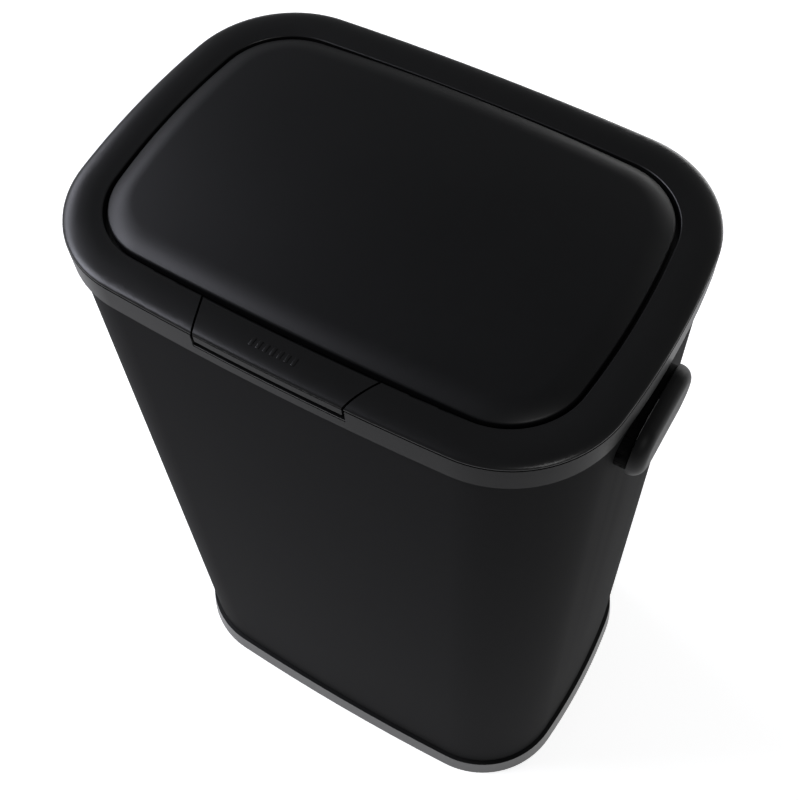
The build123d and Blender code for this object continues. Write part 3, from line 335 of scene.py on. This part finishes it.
@dataclass
class Tree:
    """Small helper that adds and links shader nodes in one tree."""

    tree: bpy.types.NodeTree

    def add(self, kind: str, values: dict[str, object] | None = None,
            **settings: object) -> bpy.types.Node:
        """Adds a node.

        Args:
            kind: Blender's node type, without the leading ShaderNode.
            values: Input socket name to its value.
            settings: Values for the node's own properties.

        Returns:
            The new node.
        """
        node = self.tree.nodes.new(kind if kind.startswith("Node") else "ShaderNode" + kind)
        for key, value in settings.items():
            setattr(node, key, value)
        for label, value in (values or {}).items():
            node.inputs[label].default_value = value
        return node

    def link(self, output: bpy.types.NodeSocket, target: bpy.types.NodeSocket) -> None:
        """Joins an output to an input."""
        self.tree.links.new(output, target)

    def compute(self, operation: str, first: object, second: object) -> bpy.types.NodeSocket:
        """Adds a Math node.

        Args:
            operation: Its operation.
            first: A socket or a number.
            second: A socket or a number.

        Returns:
            Its output socket.
        """
        node = self.add("Math", operation=operation)
        for target, value in zip(node.inputs, (first, second)):
            if isinstance(value, bpy.types.NodeSocket):
                self.link(value, target)
            else:
                target.default_value = value
        return node.outputs[0]

    def blend(self, first: bpy.types.NodeSocket, share: float, second: bpy.types.NodeSocket,
              other_share: float) -> bpy.types.NodeSocket:
        """Adds two values together, each times its share.

        Args:
            first: A value.
            share: What it is multiplied by.
            second: Another value.
            other_share: What that one is multiplied by.

        Returns:
            The sum.
        """
        return self.compute("ADD", self.compute("MULTIPLY", first, share),
                            self.compute("MULTIPLY", second, other_share))


@dataclass(frozen=True)
class GroupMaker:
    """Builds the shader node groups that the finishes share.

    The scales of the noises in them are in features per metre, or in parts of the group's own.
    """

    cell_share: float = 0.6
    flow_share: float = 0.5
    flow_scale: float = 0.55
    broad_share: float = 0.65
    broad_scale: float = 9.0
    fine_share: float = 0.35
    fine_scale: float = 140.0
    line_stretch: Triple = (0.06, 0.06, 1.0)

    def start(self, name: str, inputs: dict[str, str | float],
              outputs: dict[str, str]) -> tuple[Tree, bpy.types.Node, bpy.types.Node]:
        """Opens a new group.

        Args:
            name: The group's name.
            inputs: Socket name to its default, or to its type where it isn't a number.
            outputs: Socket name to its type.

        Returns:
            The tree helper, the group's input node and its output node.
        """
        group = bpy.data.node_groups.new(name, "ShaderNodeTree")
        for label, value in inputs.items():
            kind = value if isinstance(value, str) else "Float"
            socket = group.interface.new_socket(
                name=label, in_out="INPUT", socket_type="NodeSocket" + kind)
            if kind == "Float":
                socket.default_value = value
        for label, kind in outputs.items():
            group.interface.new_socket(
                name=label, in_out="OUTPUT", socket_type="NodeSocket" + kind)
        tree = Tree(group)
        return tree, tree.add("NodeGroupInput"), tree.add("NodeGroupOutput")

    def moulded_grain(self) -> bpy.types.NodeTree:
        """Fine spark-eroded grain of a moulded surface.

        Returns:
            The group: position and grains per metre in, height out.
        """
        tree, source, sink = self.start(
            "moulded_grain", {"Position": "Vector", "Grains": 1500.0}, {"Height": "Float"})
        cells = tree.add("TexVoronoi", {"Smoothness": 0.7}, feature="SMOOTH_F1")
        flow = tree.add("TexNoise", {"Detail": 3.0, "Roughness": 0.6})
        tree.link(source.outputs["Position"], cells.inputs["Vector"])
        tree.link(source.outputs["Position"], flow.inputs["Vector"])
        tree.link(source.outputs["Grains"], cells.inputs["Scale"])
        tree.link(tree.compute("MULTIPLY", source.outputs["Grains"], self.flow_scale),
                  flow.inputs["Scale"])
        mixed = tree.blend(cells.outputs["Distance"], self.cell_share,
                           flow.outputs["Fac"], self.flow_share)
        tree.link(mixed, sink.inputs["Height"])
        return tree.tree

    def coat_flow(self) -> bpy.types.NodeTree:
        """Orange peel of a baked coating over sheet metal.

        Returns:
            The group: position and waves per metre in, height out.
        """
        tree, source, sink = self.start(
            "coat_flow", {"Position": "Vector", "Waves": 450.0}, {"Height": "Float"})
        peel = tree.add("TexNoise", {"Detail": 1.5, "Roughness": 0.45})
        tree.link(source.outputs["Position"], peel.inputs["Vector"])
        tree.link(source.outputs["Waves"], peel.inputs["Scale"])
        tree.link(peel.outputs["Fac"], sink.inputs["Height"])
        return tree.tree

    def turned_lines(self) -> bpy.types.NodeTree:
        """Fine lines of a drawn or turned metal surface.

        Returns:
            The group: position and lines per metre in, height out.
        """
        tree, source, sink = self.start(
            "turned_lines", {"Position": "Vector", "Lines": 2500.0}, {"Height": "Float"})
        stretch = tree.add("Mapping", {"Scale": self.line_stretch})
        lines = tree.add("TexNoise", {"Detail": 4.0})
        tree.link(source.outputs["Position"], stretch.inputs["Vector"])
        tree.link(stretch.outputs["Vector"], lines.inputs["Vector"])
        tree.link(source.outputs["Lines"], lines.inputs["Scale"])
        tree.link(lines.outputs["Fac"], sink.inputs["Height"])
        return tree.tree

    def handled(self) -> bpy.types.NodeTree:
        """Soft patches of dust and handling that change colour and gloss a little.

        Returns:
            The group: position, colour, roughness and spreads in, colour and roughness out.
        """
        inputs = {"Position": "Vector", "Colour": "Color", "Roughness": 0.4,
                  "Gloss spread": 0.06, "Colour spread": 0.15}
        tree, source, sink = self.start(
            "handled_surface", inputs, {"Colour": "Color", "Roughness": "Float"})
        broad = tree.add("TexNoise", {"Scale": self.broad_scale, "Detail": 4.0, "Roughness": 0.55})
        fine = tree.add("TexNoise", {"Scale": self.fine_scale, "Detail": 3.0})
        for noise in (broad, fine):
            tree.link(source.outputs["Position"], noise.inputs["Vector"])
        both = tree.blend(broad.outputs["Fac"], self.broad_share,
                          fine.outputs["Fac"], self.fine_share)
        # The noises lie about 0.5, so this lies between -1 and 1.
        centred = tree.compute("MULTIPLY", tree.compute("SUBTRACT", both, 0.5), 2.0)
        rough = tree.compute("ADD", source.outputs["Roughness"],
                             tree.compute("MULTIPLY", centred, source.outputs["Gloss spread"]))
        tree.link(rough, sink.inputs["Roughness"])
        gain = tree.compute(
            "ADD", tree.compute("MULTIPLY", centred, source.outputs["Colour spread"]), 1.0)
        scaled = tree.add("VectorMath", operation="SCALE")
        tree.link(source.outputs["Colour"], scaled.inputs[0])
        tree.link(gain, scaled.inputs["Scale"])
        tree.link(scaled.outputs[0], sink.inputs["Colour"])
        return tree.tree


class Relief(Enum):
    """How a finish's surface is broken up."""

    GRAIN = "moulded_grain"
    PEEL = "coat_flow"
    LINES = "turned_lines"


@dataclass(frozen=True)
class Finish:
    """One material of the bin.

    The relief's density is in features per metre and its depth in millimetres.
    """

    name: str
    slot: Slot
    colour: Triple
    roughness: float
    specular: float
    density: float
    depth: float
    relief: Relief = Relief.GRAIN
    gloss_spread: float = 0.05
    colour_spread: float = 0.18
    metallic: float = 0.0

    def material(self) -> bpy.types.Material:
        """Builds the material once, and hands it back after that.

        Returns:
            The material.
        """
        known = bpy.data.materials.get(self.name)
        if known:
            return known
        made = bpy.data.materials.new(self.name)
        made.use_nodes = True
        made.diffuse_color = (*self.colour, 1.0)
        tree = Tree(made.node_tree)
        shader = made.node_tree.nodes["Principled BSDF"]
        shader.inputs["Metallic"].default_value = self.metallic
        shader.inputs["Specular IOR Level"].default_value = self.specular
        place = tree.add("TexCoord").outputs["Object"]
        relief = tree.add("Group", node_tree=bpy.data.node_groups[self.relief.value])
        relief.inputs[1].default_value = self.density
        tree.link(place, relief.inputs["Position"])
        bump = tree.add("Bump", {"Strength": 1.0, "Distance": self.depth * MM})
        tree.link(relief.outputs["Height"], bump.inputs["Height"])
        tree.link(bump.outputs["Normal"], shader.inputs["Normal"])
        values = {"Colour": (*self.colour, 1.0), "Roughness": self.roughness,
                  "Gloss spread": self.gloss_spread, "Colour spread": self.colour_spread}
        handled = tree.add("Group", node_tree=bpy.data.node_groups["handled_surface"])
        for label, value in values.items():
            handled.inputs[label].default_value = value
        tree.link(place, handled.inputs["Position"])
        tree.link(handled.outputs["Colour"], shader.inputs["Base Color"])
        tree.link(handled.outputs["Roughness"], shader.inputs["Roughness"])
        return made


class Finishes(Enum):
    """Every finish on the bin."""

    WALL_COAT = Finish(
        "black_coated_sheet", Slot.PAINT, (0.0200, 0.0200, 0.0204), roughness=0.62,
        specular=0.008, density=420.0, depth=0.012, relief=Relief.PEEL)
    RIM = Finish(
        "rim_black_moulding", Slot.PLASTIC, (0.0040, 0.0040, 0.0042), roughness=0.32,
        specular=0.40, density=2200.0, depth=0.005)
    BAND = Finish(
        "band_black_moulding", Slot.PLASTIC, (0.0034, 0.0034, 0.0036), roughness=0.34,
        specular=0.05, density=2200.0, depth=0.005)
    BASE = Finish(
        "base_black_moulding", Slot.PLASTIC, (0.0050, 0.0050, 0.0052), roughness=0.36,
        specular=0.45, density=2000.0, depth=0.008)
    LID = Finish(
        "lid_satin_moulding", Slot.PLASTIC, (0.0030, 0.0031, 0.0034), roughness=0.42,
        specular=0.30, density=2600.0, depth=0.004)
    BUTTON = Finish(
        "button_satin_moulding", Slot.PLASTIC, (0.0038, 0.0038, 0.0040), roughness=0.32,
        specular=0.40, density=2400.0, depth=0.005)
    GRIP = Finish(
        "grip_smooth_moulding", Slot.PLASTIC, (0.0100, 0.0100, 0.0102), roughness=0.46,
        specular=0.12, density=2400.0, depth=0.004)
    # Matt dark moulding of the handle plates; on the grips' faces towards the wall it is painted
    # shade.
    MATT_PLATE_AND_SHADE = Finish(
        "plate_matt_and_painted_shade", Slot.PLASTIC, (0.0020, 0.0020, 0.0021), roughness=0.75,
        specular=0.03, density=2000.0, depth=0.004)
    # Painted shade: a near-black matt colour laid on faces in gaps, grooves and notch ends,
    # standing in for the shade that falls there.
    PAINTED_JOINT_SHADE = Finish(
        "painted_joint_shade", Slot.PLASTIC, (0.0012, 0.0012, 0.0012), roughness=0.80,
        specular=0.02, density=1200.0, depth=0.005)
    HIDDEN = Finish(
        "plain_inner_moulding", Slot.INNER, (0.020, 0.020, 0.021), roughness=0.55,
        specular=0.40, density=1200.0, depth=0.020)
    RUBBER = Finish(
        "black_rubber", Slot.RUBBER, (0.018, 0.018, 0.018), roughness=0.80,
        specular=0.30, density=1600.0, depth=0.030, gloss_spread=0.08, colour_spread=0.25)
    STEEL = Finish(
        "plated_steel", Slot.STEEL, (0.55, 0.55, 0.57), roughness=0.32,
        specular=0.50, density=2500.0, depth=0.004, relief=Relief.LINES,
        gloss_spread=0.10, colour_spread=0.12, metallic=1.0)


def dress(piece: bpy.types.Object, finish: Finishes) -> None:
    """Gives every slot of a piece one finish.

    Args:
        piece: The object to dress.
        finish: The finish it gets.
    """
    material = finish.value.material()
    if not piece.material_slots:
        piece.data.materials.append(material)
    for slot in piece.material_slots:
        slot.material = material


def dress_faces(piece: bpy.types.Object, finish: Finishes, chosen: Chooser) -> None:
    """Gives some faces of a dressed piece a finish of their own.

    Args:
        piece: The piece, already dressed.
        finish: The finish of the chosen faces.
        chosen: Says which faces they are.
    """
    piece.data.materials.append(finish.value.material())
    index = len(piece.data.materials) - 1
    for face in piece.data.polygons:
        if chosen(face.center / MM, face.normal):
            face.material_index = index


def carried(finish: Finishes, *names: str) -> None:
    """Dresses CAD nodes that stay as they are.

    Args:
        finish: Their finish.
        names: The nodes.
    """
    for name in names:
        dress(frame["nodes"][name], finish)


def stand_for(piece: bpy.types.Object, nodes: list[str], body: Body, finish: Finishes) -> None:
    """Finishes a piece that takes the place of CAD nodes.

    Args:
        piece: The piece.
        nodes: The nodes it replaces; none for a piece of the scene's own.
        body: The body it rides on.
        finish: Its finish.
    """
    dress(piece, finish)
    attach(piece, body.value)
    if nodes:
        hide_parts(*nodes)
    LOG.info("%s rides on %s", piece.name, body.value)


@dataclass
class Can:
    """The coated wall on its base, with the band, the feet and the side grips.

    Heights are in millimetres, and a slope is a part of a face's unit normal.
    """

    joint_from: float = 635.8
    joint_slope: float = 0.2

    def in_joint(self, place: Vector, way: Vector) -> bool:
        """Tells whether a face of the band lies in the joint under the frame, where painted shade
        goes.
        """
        return place.z > self.joint_from and way.z > self.joint_slope

    def at_wall(self, place: Vector, way: Vector) -> bool:
        """Tells whether a face of a grip looks at the wall; these faces get painted shade."""
        return way.x * place.x < 0

    def build(self) -> None:
        """Makes the outer pieces and dresses the rest."""
        pieces = (
            ("body_shell", Finishes.WALL_COAT),
            ("base_plinth", Finishes.BASE),
            ("collar_band", Finishes.BAND),
            ("handle_plate_left", Finishes.MATT_PLATE_AND_SHADE),
            ("handle_plate_right", Finishes.MATT_PLATE_AND_SHADE),
            ("handle_grip_left", Finishes.GRIP),
            ("handle_grip_right", Finishes.GRIP),
        )
        for node, finish in pieces:
            piece = fine_copy(node)
            if not node.startswith("handle"):
                true_normals(piece)
            stand_for(piece, [node], Body.CAN, finish)
            if node == "collar_band":
                # Painted shade: the band's faces in the joint under the frame are made near-black.
                dress_faces(piece, Finishes.PAINTED_JOINT_SHADE, self.in_joint)
            if node.startswith("handle_grip"):
                # Painted shade: the grips' faces towards the wall take the plates' dark matt finish
                # instead of the grip's own.
                dress_faces(piece, Finishes.MATT_PLATE_AND_SHADE, self.at_wall)
        carried(Finishes.STEEL, "base_screws", "collar_screws", "handle_screws")
        carried(Finishes.RUBBER, "foot_back_left", "foot_back_right",
                "foot_front_left", "foot_front_right")


@dataclass
class Rim:
    """The moulded frame with its rounded shoulder, and what is fastened under it.

    The notch's places are in millimetres, and a slope is a part of a face's unit normal.
    """

    notch_from: float = 50.0
    notch_to: float = 70.0
    notch_behind: float = -105.0
    end_slope: float = 0.8

    def at_notch_end(self, place: Vector, way: Vector) -> bool:
        """Tells whether a face is a wall at one end of the button's notch, where painted shade
        goes.
        """
        beside = self.notch_from < abs(place.x) < self.notch_to
        return beside and place.y < self.notch_behind and abs(way.x) > self.end_slope

    def build(self) -> None:
        """Makes the frame and dresses its hardware."""
        piece = fine_copy("lid_frame")
        true_normals(piece)
        stand_for(piece, ["lid_frame"], Body.FRAME, Finishes.RIM)
        # Painted shade: the walls at the ends of the button's notch are made near-black.
        dress_faces(piece, Finishes.PAINTED_JOINT_SHADE, self.at_notch_end)
        carried(Finishes.HIDDEN, "hinge_bracket_left", "hinge_bracket_right",
                "latch_bracket", "latch_lever")
        carried(Finishes.STEEL, "hinge_bracket_screws", "hinge_pin_left", "hinge_pin_right",
                "hinge_spring_left", "hinge_spring_right", "button_pivot_pin_left",
                "button_pivot_pin_right", "latch_bracket_screws", "latch_pin", "latch_spring")
        carried(Finishes.RUBBER, "lid_bumpers")


@dataclass
class Lid:
    """The crowned lid with its liner, keeper and hinge arms; sizes in millimetres."""

    inset: float = 30.0
    bottom: float = 634.2
    edge_tilt: float = 30.0
    edge_reach: float = 18.0
    edge_break: float = 2.6
    break_steps: int = 8
    wall: float = 2.5
    apex: float = 648.4669
    bow_x: float = 3800.0
    bow_y: float = 2200.0
    round_steps: int = 16
    smooth_angle: float = 40.0
    insets: tuple[float, ...] = (49.5, 52.0, 55.5, 60.0, 65.0, 70.0)
    scales: tuple[float, ...] = (0.88, 0.74, 0.6, 0.46, 0.32, 0.18, 0.08)

    def crown(self, x: float, y: float) -> float:
        """Height of the lid's outer skin.

        Args:
            x: Place across the lid.
            y: Place along its depth.

        Returns:
            The height.
        """
        across = self.apex - self.bow_x + math.sqrt(self.bow_x**2 - x**2)
        return across - self.bow_y + math.sqrt(self.bow_y**2 - y**2)

    def skin(self, inset: float, reach: float, drop: float) -> list[list[Vector]]:
        """Loops of one skin, from its bottom edge to its crown.

        The edge is broken by a small round, and a wide arc leads from there to the crown.

        Args:
            inset: The skin's distance in from the outline.
            reach: Breadth of its rounded upper edge.
            drop: How far it lies under the outer crown.

        Returns:
            The loops.
        """
        plan = OUTLINE.loop(inset)
        centres = OUTLINE.loop(inset + reach)
        first = math.radians(self.edge_tilt)
        lost = self.edge_break * (1 - math.sin(first))
        loops = [[Vector((p.x, p.y, self.bottom)) for p in plan]]
        loops += [[] for _ in range(self.break_steps + self.round_steps + 1)]
        for edge, middle in zip(plan, centres):
            fall = math.hypot(middle.x / self.bow_x, middle.y / self.bow_y)
            inward = (middle - edge) / reach
            radius = (reach - lost) / (math.sin(first) - math.sin(fall))
            height = self.crown(middle.x, middle.y) - drop
            start = height - radius * (math.cos(fall) - math.cos(first))
            for step in range(self.break_steps):
                tilt = math.pi / 2 + (first - math.pi / 2) * step / self.break_steps
                place = edge + inward * self.edge_break * (1 - math.sin(tilt))
                rise = self.edge_break * (math.cos(first) - math.cos(tilt))
                loops[1 + step].append(Vector((place.x, place.y, start - rise)))
            for step in range(self.round_steps + 1):
                tilt = first + (fall - first) * step / self.round_steps
                place = middle - inward * radius * (math.sin(tilt) - math.sin(fall))
                level = height - radius * (math.cos(fall) - math.cos(tilt))
                loops[1 + self.break_steps + step].append(Vector((place.x, place.y, level)))
        flats = [OUTLINE.loop(value) for value in self.insets]
        flats += [[point * scale for point in flats[-1]] for scale in self.scales]
        loops += [[Vector((p.x, p.y, self.crown(p.x, p.y) - drop)) for p in flat] for flat in flats]
        return loops

    def build(self) -> None:
        """Makes the lid's shell and dresses the rest."""
        outer = self.skin(self.inset, self.edge_reach, 0.0)
        inner = self.skin(self.inset + self.wall, self.edge_reach - self.wall, self.wall)
        piece = lofted_shell("lid_panel_fine", inner[::-1] + outer)
        smooth_by_angle(piece, self.smooth_angle)
        stand_for(piece, ["lid_panel"], Body.LID, Finishes.LID)
        carried(Finishes.HIDDEN, "lid_liner", "lid_keeper", "hinge_arm_left", "hinge_arm_right")
        carried(Finishes.STEEL, "lid_screws", "keeper_screws", "hinge_arm_screws")


@dataclass
class Button:
    """The wide push button with its row of raised bars.

    Sizes are in millimetres, a slope is a part of a face's unit normal, and the rounds of a bar
    are parts of its width and of its rise.
    """

    front_slope: float = 0.35
    groove_low: float = 635.65
    groove_high: float = 637.35
    groove_front: float = -140.0
    groove_slopes: tuple[float, float] = (0.1, 0.98)
    end_slope: float = 0.8
    end_from: float = 50.0
    trim: float = 0.7
    trim_from: float = 42.0
    trim_over: float = 8.0
    bars: int = 7
    bar_length: float = 6.0
    bar_width: float = 2.4
    bar_pitch: float = 5.1
    bar_rise: float = 0.45
    bar_sunk: float = 0.5
    bar_end_round: float = 0.48
    bar_end_steps: int = 8
    bar_top_round: float = 0.8
    bar_top_steps: int = 3
    bar_smooth_angle: float = 35.0
    row_centre: Triple = (-2.0, -131.0, 640.45)

    def on_front(self, place: Vector, way: Vector) -> bool:
        """Tells whether a face is too steep to be of the button's top."""
        return way.z < self.front_slope

    def at_end(self, place: Vector, way: Vector) -> bool:
        """Tells whether a face closes one end of the button, where painted shade goes."""
        return abs(way.x) > self.end_slope and abs(place.x) > self.end_from

    def in_groove(self, place: Vector, way: Vector) -> bool:
        """Tells whether a face lies in the joint line along the button's front, where painted shade
        goes.

        Args:
            place: The face's middle.
            way: Its normal.

        Returns:
            True where it does.
        """
        low, high = self.groove_slopes
        front = way.y < 0 and place.y < self.groove_front
        return front and self.groove_low < place.z < self.groove_high and low < abs(way.z) < high

    def build(self) -> None:
        """Makes the button and its tactile row."""
        piece = fine_copy("push_button")
        true_normals(piece)
        for vertex in piece.data.vertices:
            past = min(1.0, (abs(vertex.co.x) / MM - self.trim_from) / self.trim_over)
            if past > 0:
                vertex.co.x -= math.copysign(past * self.trim * MM, vertex.co.x)
        stand_for(piece, ["push_button"], Body.BUTTON, Finishes.BUTTON)
        dress_faces(piece, Finishes.BAND, self.on_front)
        # Painted shade: the button's end faces and the joint line along its front are made
        # near-black.
        dress_faces(piece, Finishes.PAINTED_JOINT_SHADE, self.at_end)
        dress_faces(piece, Finishes.PAINTED_JOINT_SHADE, self.in_groove)
        first = self.bar()
        copies = [first]
        for index in range(1, self.bars):
            activate(first)
            bpy.ops.object.duplicate()
            copy = bpy.context.object
            copy.data.transform(Matrix.Translation((index * self.bar_pitch * MM, 0, 0)))
            copies.append(copy)
        for index, bar in enumerate(copies):
            rename(bar, f"button_tactile_bar_{index + 1}")
            stand_for(bar, [], Body.BUTTON, Finishes.BUTTON)

    def bar(self) -> bpy.types.Object:
        """Models the leftmost bar: a block with crowned top and rounded ends.

        Returns:
            The bar.
        """
        deselect()
        height = self.bar_rise + self.bar_sunk
        x = self.row_centre[0] - self.bar_pitch * (self.bars - 1) / 2
        z = self.row_centre[2] + self.bar_rise - height / 2
        bpy.ops.mesh.primitive_cube_add(size=1.0)
        piece = bpy.context.object
        bpy.ops.object.mode_set(mode="EDIT")
        bpy.ops.transform.resize(value=(self.bar_width * MM, self.bar_length * MM, height * MM))
        mesh = bmesh.from_edit_mesh(piece.data)
        for edge in mesh.edges:
            edge.select = edge.verts[0].co.z * edge.verts[1].co.z < 0
        bmesh.update_edit_mesh(piece.data)
        bpy.ops.mesh.bevel(offset=self.bar_width * MM * self.bar_end_round,
                           segments=self.bar_end_steps)
        mesh = bmesh.from_edit_mesh(piece.data)
        for edge in mesh.edges:
            edge.select = min(vert.co.z for vert in edge.verts) > 0
        bmesh.update_edit_mesh(piece.data)
        bpy.ops.mesh.bevel(offset=self.bar_rise * MM * self.bar_top_round,
                           segments=self.bar_top_steps)
        bpy.ops.mesh.select_all(action="SELECT")
        bpy.ops.transform.translate(value=(x * MM, self.row_centre[1] * MM, z * MM))
        bpy.ops.object.mode_set(mode="OBJECT")
        smooth_by_angle(piece, self.bar_smooth_angle)
        return piece


@dataclass(frozen=True)
class SoftLight:
    """A rectangular soft light; its place and size are in metres and its power in watts."""

    name: str
    place: Triple
    size: tuple[float, float]
    power: float
    tint: Triple = (1.0, 1.0, 1.0)

    def hang(self, target: Triple) -> None:
        """Hangs the light so that it looks at a place.

        Args:
            target: The place in metres.
        """
        data = bpy.data.lights.new(self.name, "AREA")
        data.color = self.tint
        data.shape = "RECTANGLE"
        data.size, data.size_y = self.size
        data.energy = self.power
        lamp = bpy.data.objects.new(self.name, data)
        bpy.context.scene.collection.objects.link(lamp)
        lamp.location = self.place
        way = Vector(target) - Vector(self.place)
        lamp.rotation_euler = way.to_track_quat("-Z", "Y").to_euler()


COOL = (0.88, 0.89, 1.0)
LIGHTS = (
    SoftLight("soft_left", (-1.95, -0.15, 1.7), (2.2, 0.7), 27.0, COOL),
    SoftLight("soft_front_left", (-1.5, -0.75, 2.0), (0.9, 0.9), 17.0, COOL),
    SoftLight("soft_right", (1.7, -0.95, 2.3), (0.7, 0.7), 10.0),
    SoftLight("soft_back", (0.5, 2.2, 0.6), (1.8, 0.8), 16.0),
)


@dataclass
class Studio:
    """Pale floor, soft light and the camera at the photograph's angle.

    The camera's place, lens and sensor are in millimetres, its angles in degrees and all other
    lengths in metres. The sky's pairs are the sine of a height over the horizon and the strength
    of the light that comes from there.
    """

    camera_place: Triple = (285.637, -430.214, 1231.444)
    azimuth: float = 33.5333
    elevation: float = 58.0297
    roll: float = -3.391
    lens: float = 53.63
    sensor: float = 36.0
    far: float = 50.0
    light_target: Triple = (0.0, 0.0, 0.45)
    floor_size: float = 12.0
    floor_grey: float = 0.80
    floor_glow: float = 0.75
    sky_tint: Triple = (0.97, 0.985, 1.0)
    sky_low: tuple[float, float] = (0.12, 0.25)
    sky_high: tuple[float, float] = (0.65, 0.13)

    def white_to_sight(self, tree: Tree) -> None:
        """Lets the floor show as plain white while it lights as a pale surface.

        Args:
            tree: The material's tree, emptied first.
        """
        tree.tree.nodes.clear()
        out = tree.add("OutputMaterial")
        grey = (self.floor_grey, self.floor_grey, self.floor_grey, 1.0)
        diffuse = tree.add("BsdfDiffuse", {"Color": grey})
        glow = tree.add("Emission", {"Strength": self.floor_glow})
        path = tree.add("LightPath").outputs
        through = tree.compute("MAXIMUM", path["Is Glossy Ray"], path["Is Transmission Ray"])
        seen_by = tree.compute("MAXIMUM", path["Is Camera Ray"], through)
        mix = tree.add("MixShader")
        both = tree.add("AddShader")
        tree.link(glow.outputs[0], both.inputs[0])
        tree.link(diffuse.outputs[0], both.inputs[1])
        tree.link(seen_by, mix.inputs["Fac"])
        tree.link(diffuse.outputs[0], mix.inputs[1])
        tree.link(both.outputs[0], mix.inputs[2])
        tree.link(mix.outputs[0], out.inputs["Surface"])

    def floor(self) -> None:
        """Lays the pale floor."""
        deselect()
        bpy.ops.mesh.primitive_plane_add(size=self.floor_size)
        floor = bpy.context.object
        floor.name = "studio_floor"
        pale = bpy.data.materials.new("studio_pale")
        pale.use_nodes = True
        self.white_to_sight(Tree(pale.node_tree))
        floor.data.materials.append(pale)

    def world(self) -> None:
        """Pale surroundings low down and a darker ceiling, seen as plain white."""
        world = bpy.data.worlds.new("studio")
        bpy.context.scene.world = world
        world.use_nodes = True
        tree = Tree(world.node_tree)
        tree.tree.nodes.clear()
        out = tree.add("OutputWorld")
        path = tree.add("LightPath")
        split = tree.add("SeparateXYZ")
        tree.link(tree.add("TexCoord").outputs["Generated"], split.inputs[0])
        (low, pale), (high, dark) = self.sky_low, self.sky_high
        span = {"From Min": low, "From Max": high, "To Min": pale, "To Max": dark}
        fall = tree.add("MapRange", span, interpolation_type="SMOOTHSTEP")
        tree.link(split.outputs["Z"], fall.inputs["Value"])
        around = tree.add("Background", {"Color": (*self.sky_tint, 1.0)})
        tree.link(fall.outputs[0], around.inputs["Strength"])
        seen = tree.add("Background", {"Color": (1.0, 1.0, 1.0, 1.0)})
        mix = tree.add("MixShader")
        tree.link(path.outputs["Is Camera Ray"], mix.inputs["Fac"])
        tree.link(around.outputs[0], mix.inputs[1])
        tree.link(seen.outputs[0], mix.inputs[2])
        tree.link(mix.outputs[0], out.inputs["Surface"])

    def camera(self) -> None:
        """Sets the camera at the photograph's angle."""
        az, el, roll = (math.radians(v) for v in (self.azimuth, self.elevation, self.roll))
        back = Vector((math.sin(az) * math.cos(el), -math.cos(az) * math.cos(el), math.sin(el)))
        right = (-back).cross(Vector((0, 0, 1))).normalized()
        up = right.cross(-back)
        turned = (
            right * math.cos(roll) + up * math.sin(roll),
            up * math.cos(roll) - right * math.sin(roll),
            back,
        )
        data = bpy.data.cameras.new("camera")
        data.lens = self.lens
        data.sensor_width = self.sensor
        data.clip_end = self.far
        camera = bpy.data.objects.new("camera", data)
        bpy.context.scene.collection.objects.link(camera)
        turn = Matrix(turned).transposed().to_4x4()
        camera.matrix_world = Matrix.Translation(Vector(self.camera_place) * MM) @ turn
        bpy.context.scene.camera = camera

    def build(self) -> None:
        """Sets up floor, world, lights, camera and the plain view settings."""
        self.floor()
        self.world()
        for light in LIGHTS:
            light.hang(self.light_target)
        self.camera()
        bpy.context.scene.view_settings.view_transform = "Standard"


def main() -> None:
    """Builds every sub-assembly in order."""
    logging.basicConfig(level=logging.INFO, format="%(name)s: %(message)s")
    groups = GroupMaker()
    for make in (groups.moulded_grain, groups.coat_flow, groups.handled, groups.turned_lines):
        LOG.info("group %s", make().name)
    for assembly in (Can(), Rim(), Lid(), Button(), Studio()):
        assembly.build()
        LOG.info("%s done", type(assembly).__name__)


if __name__ == "__main__":
    main()
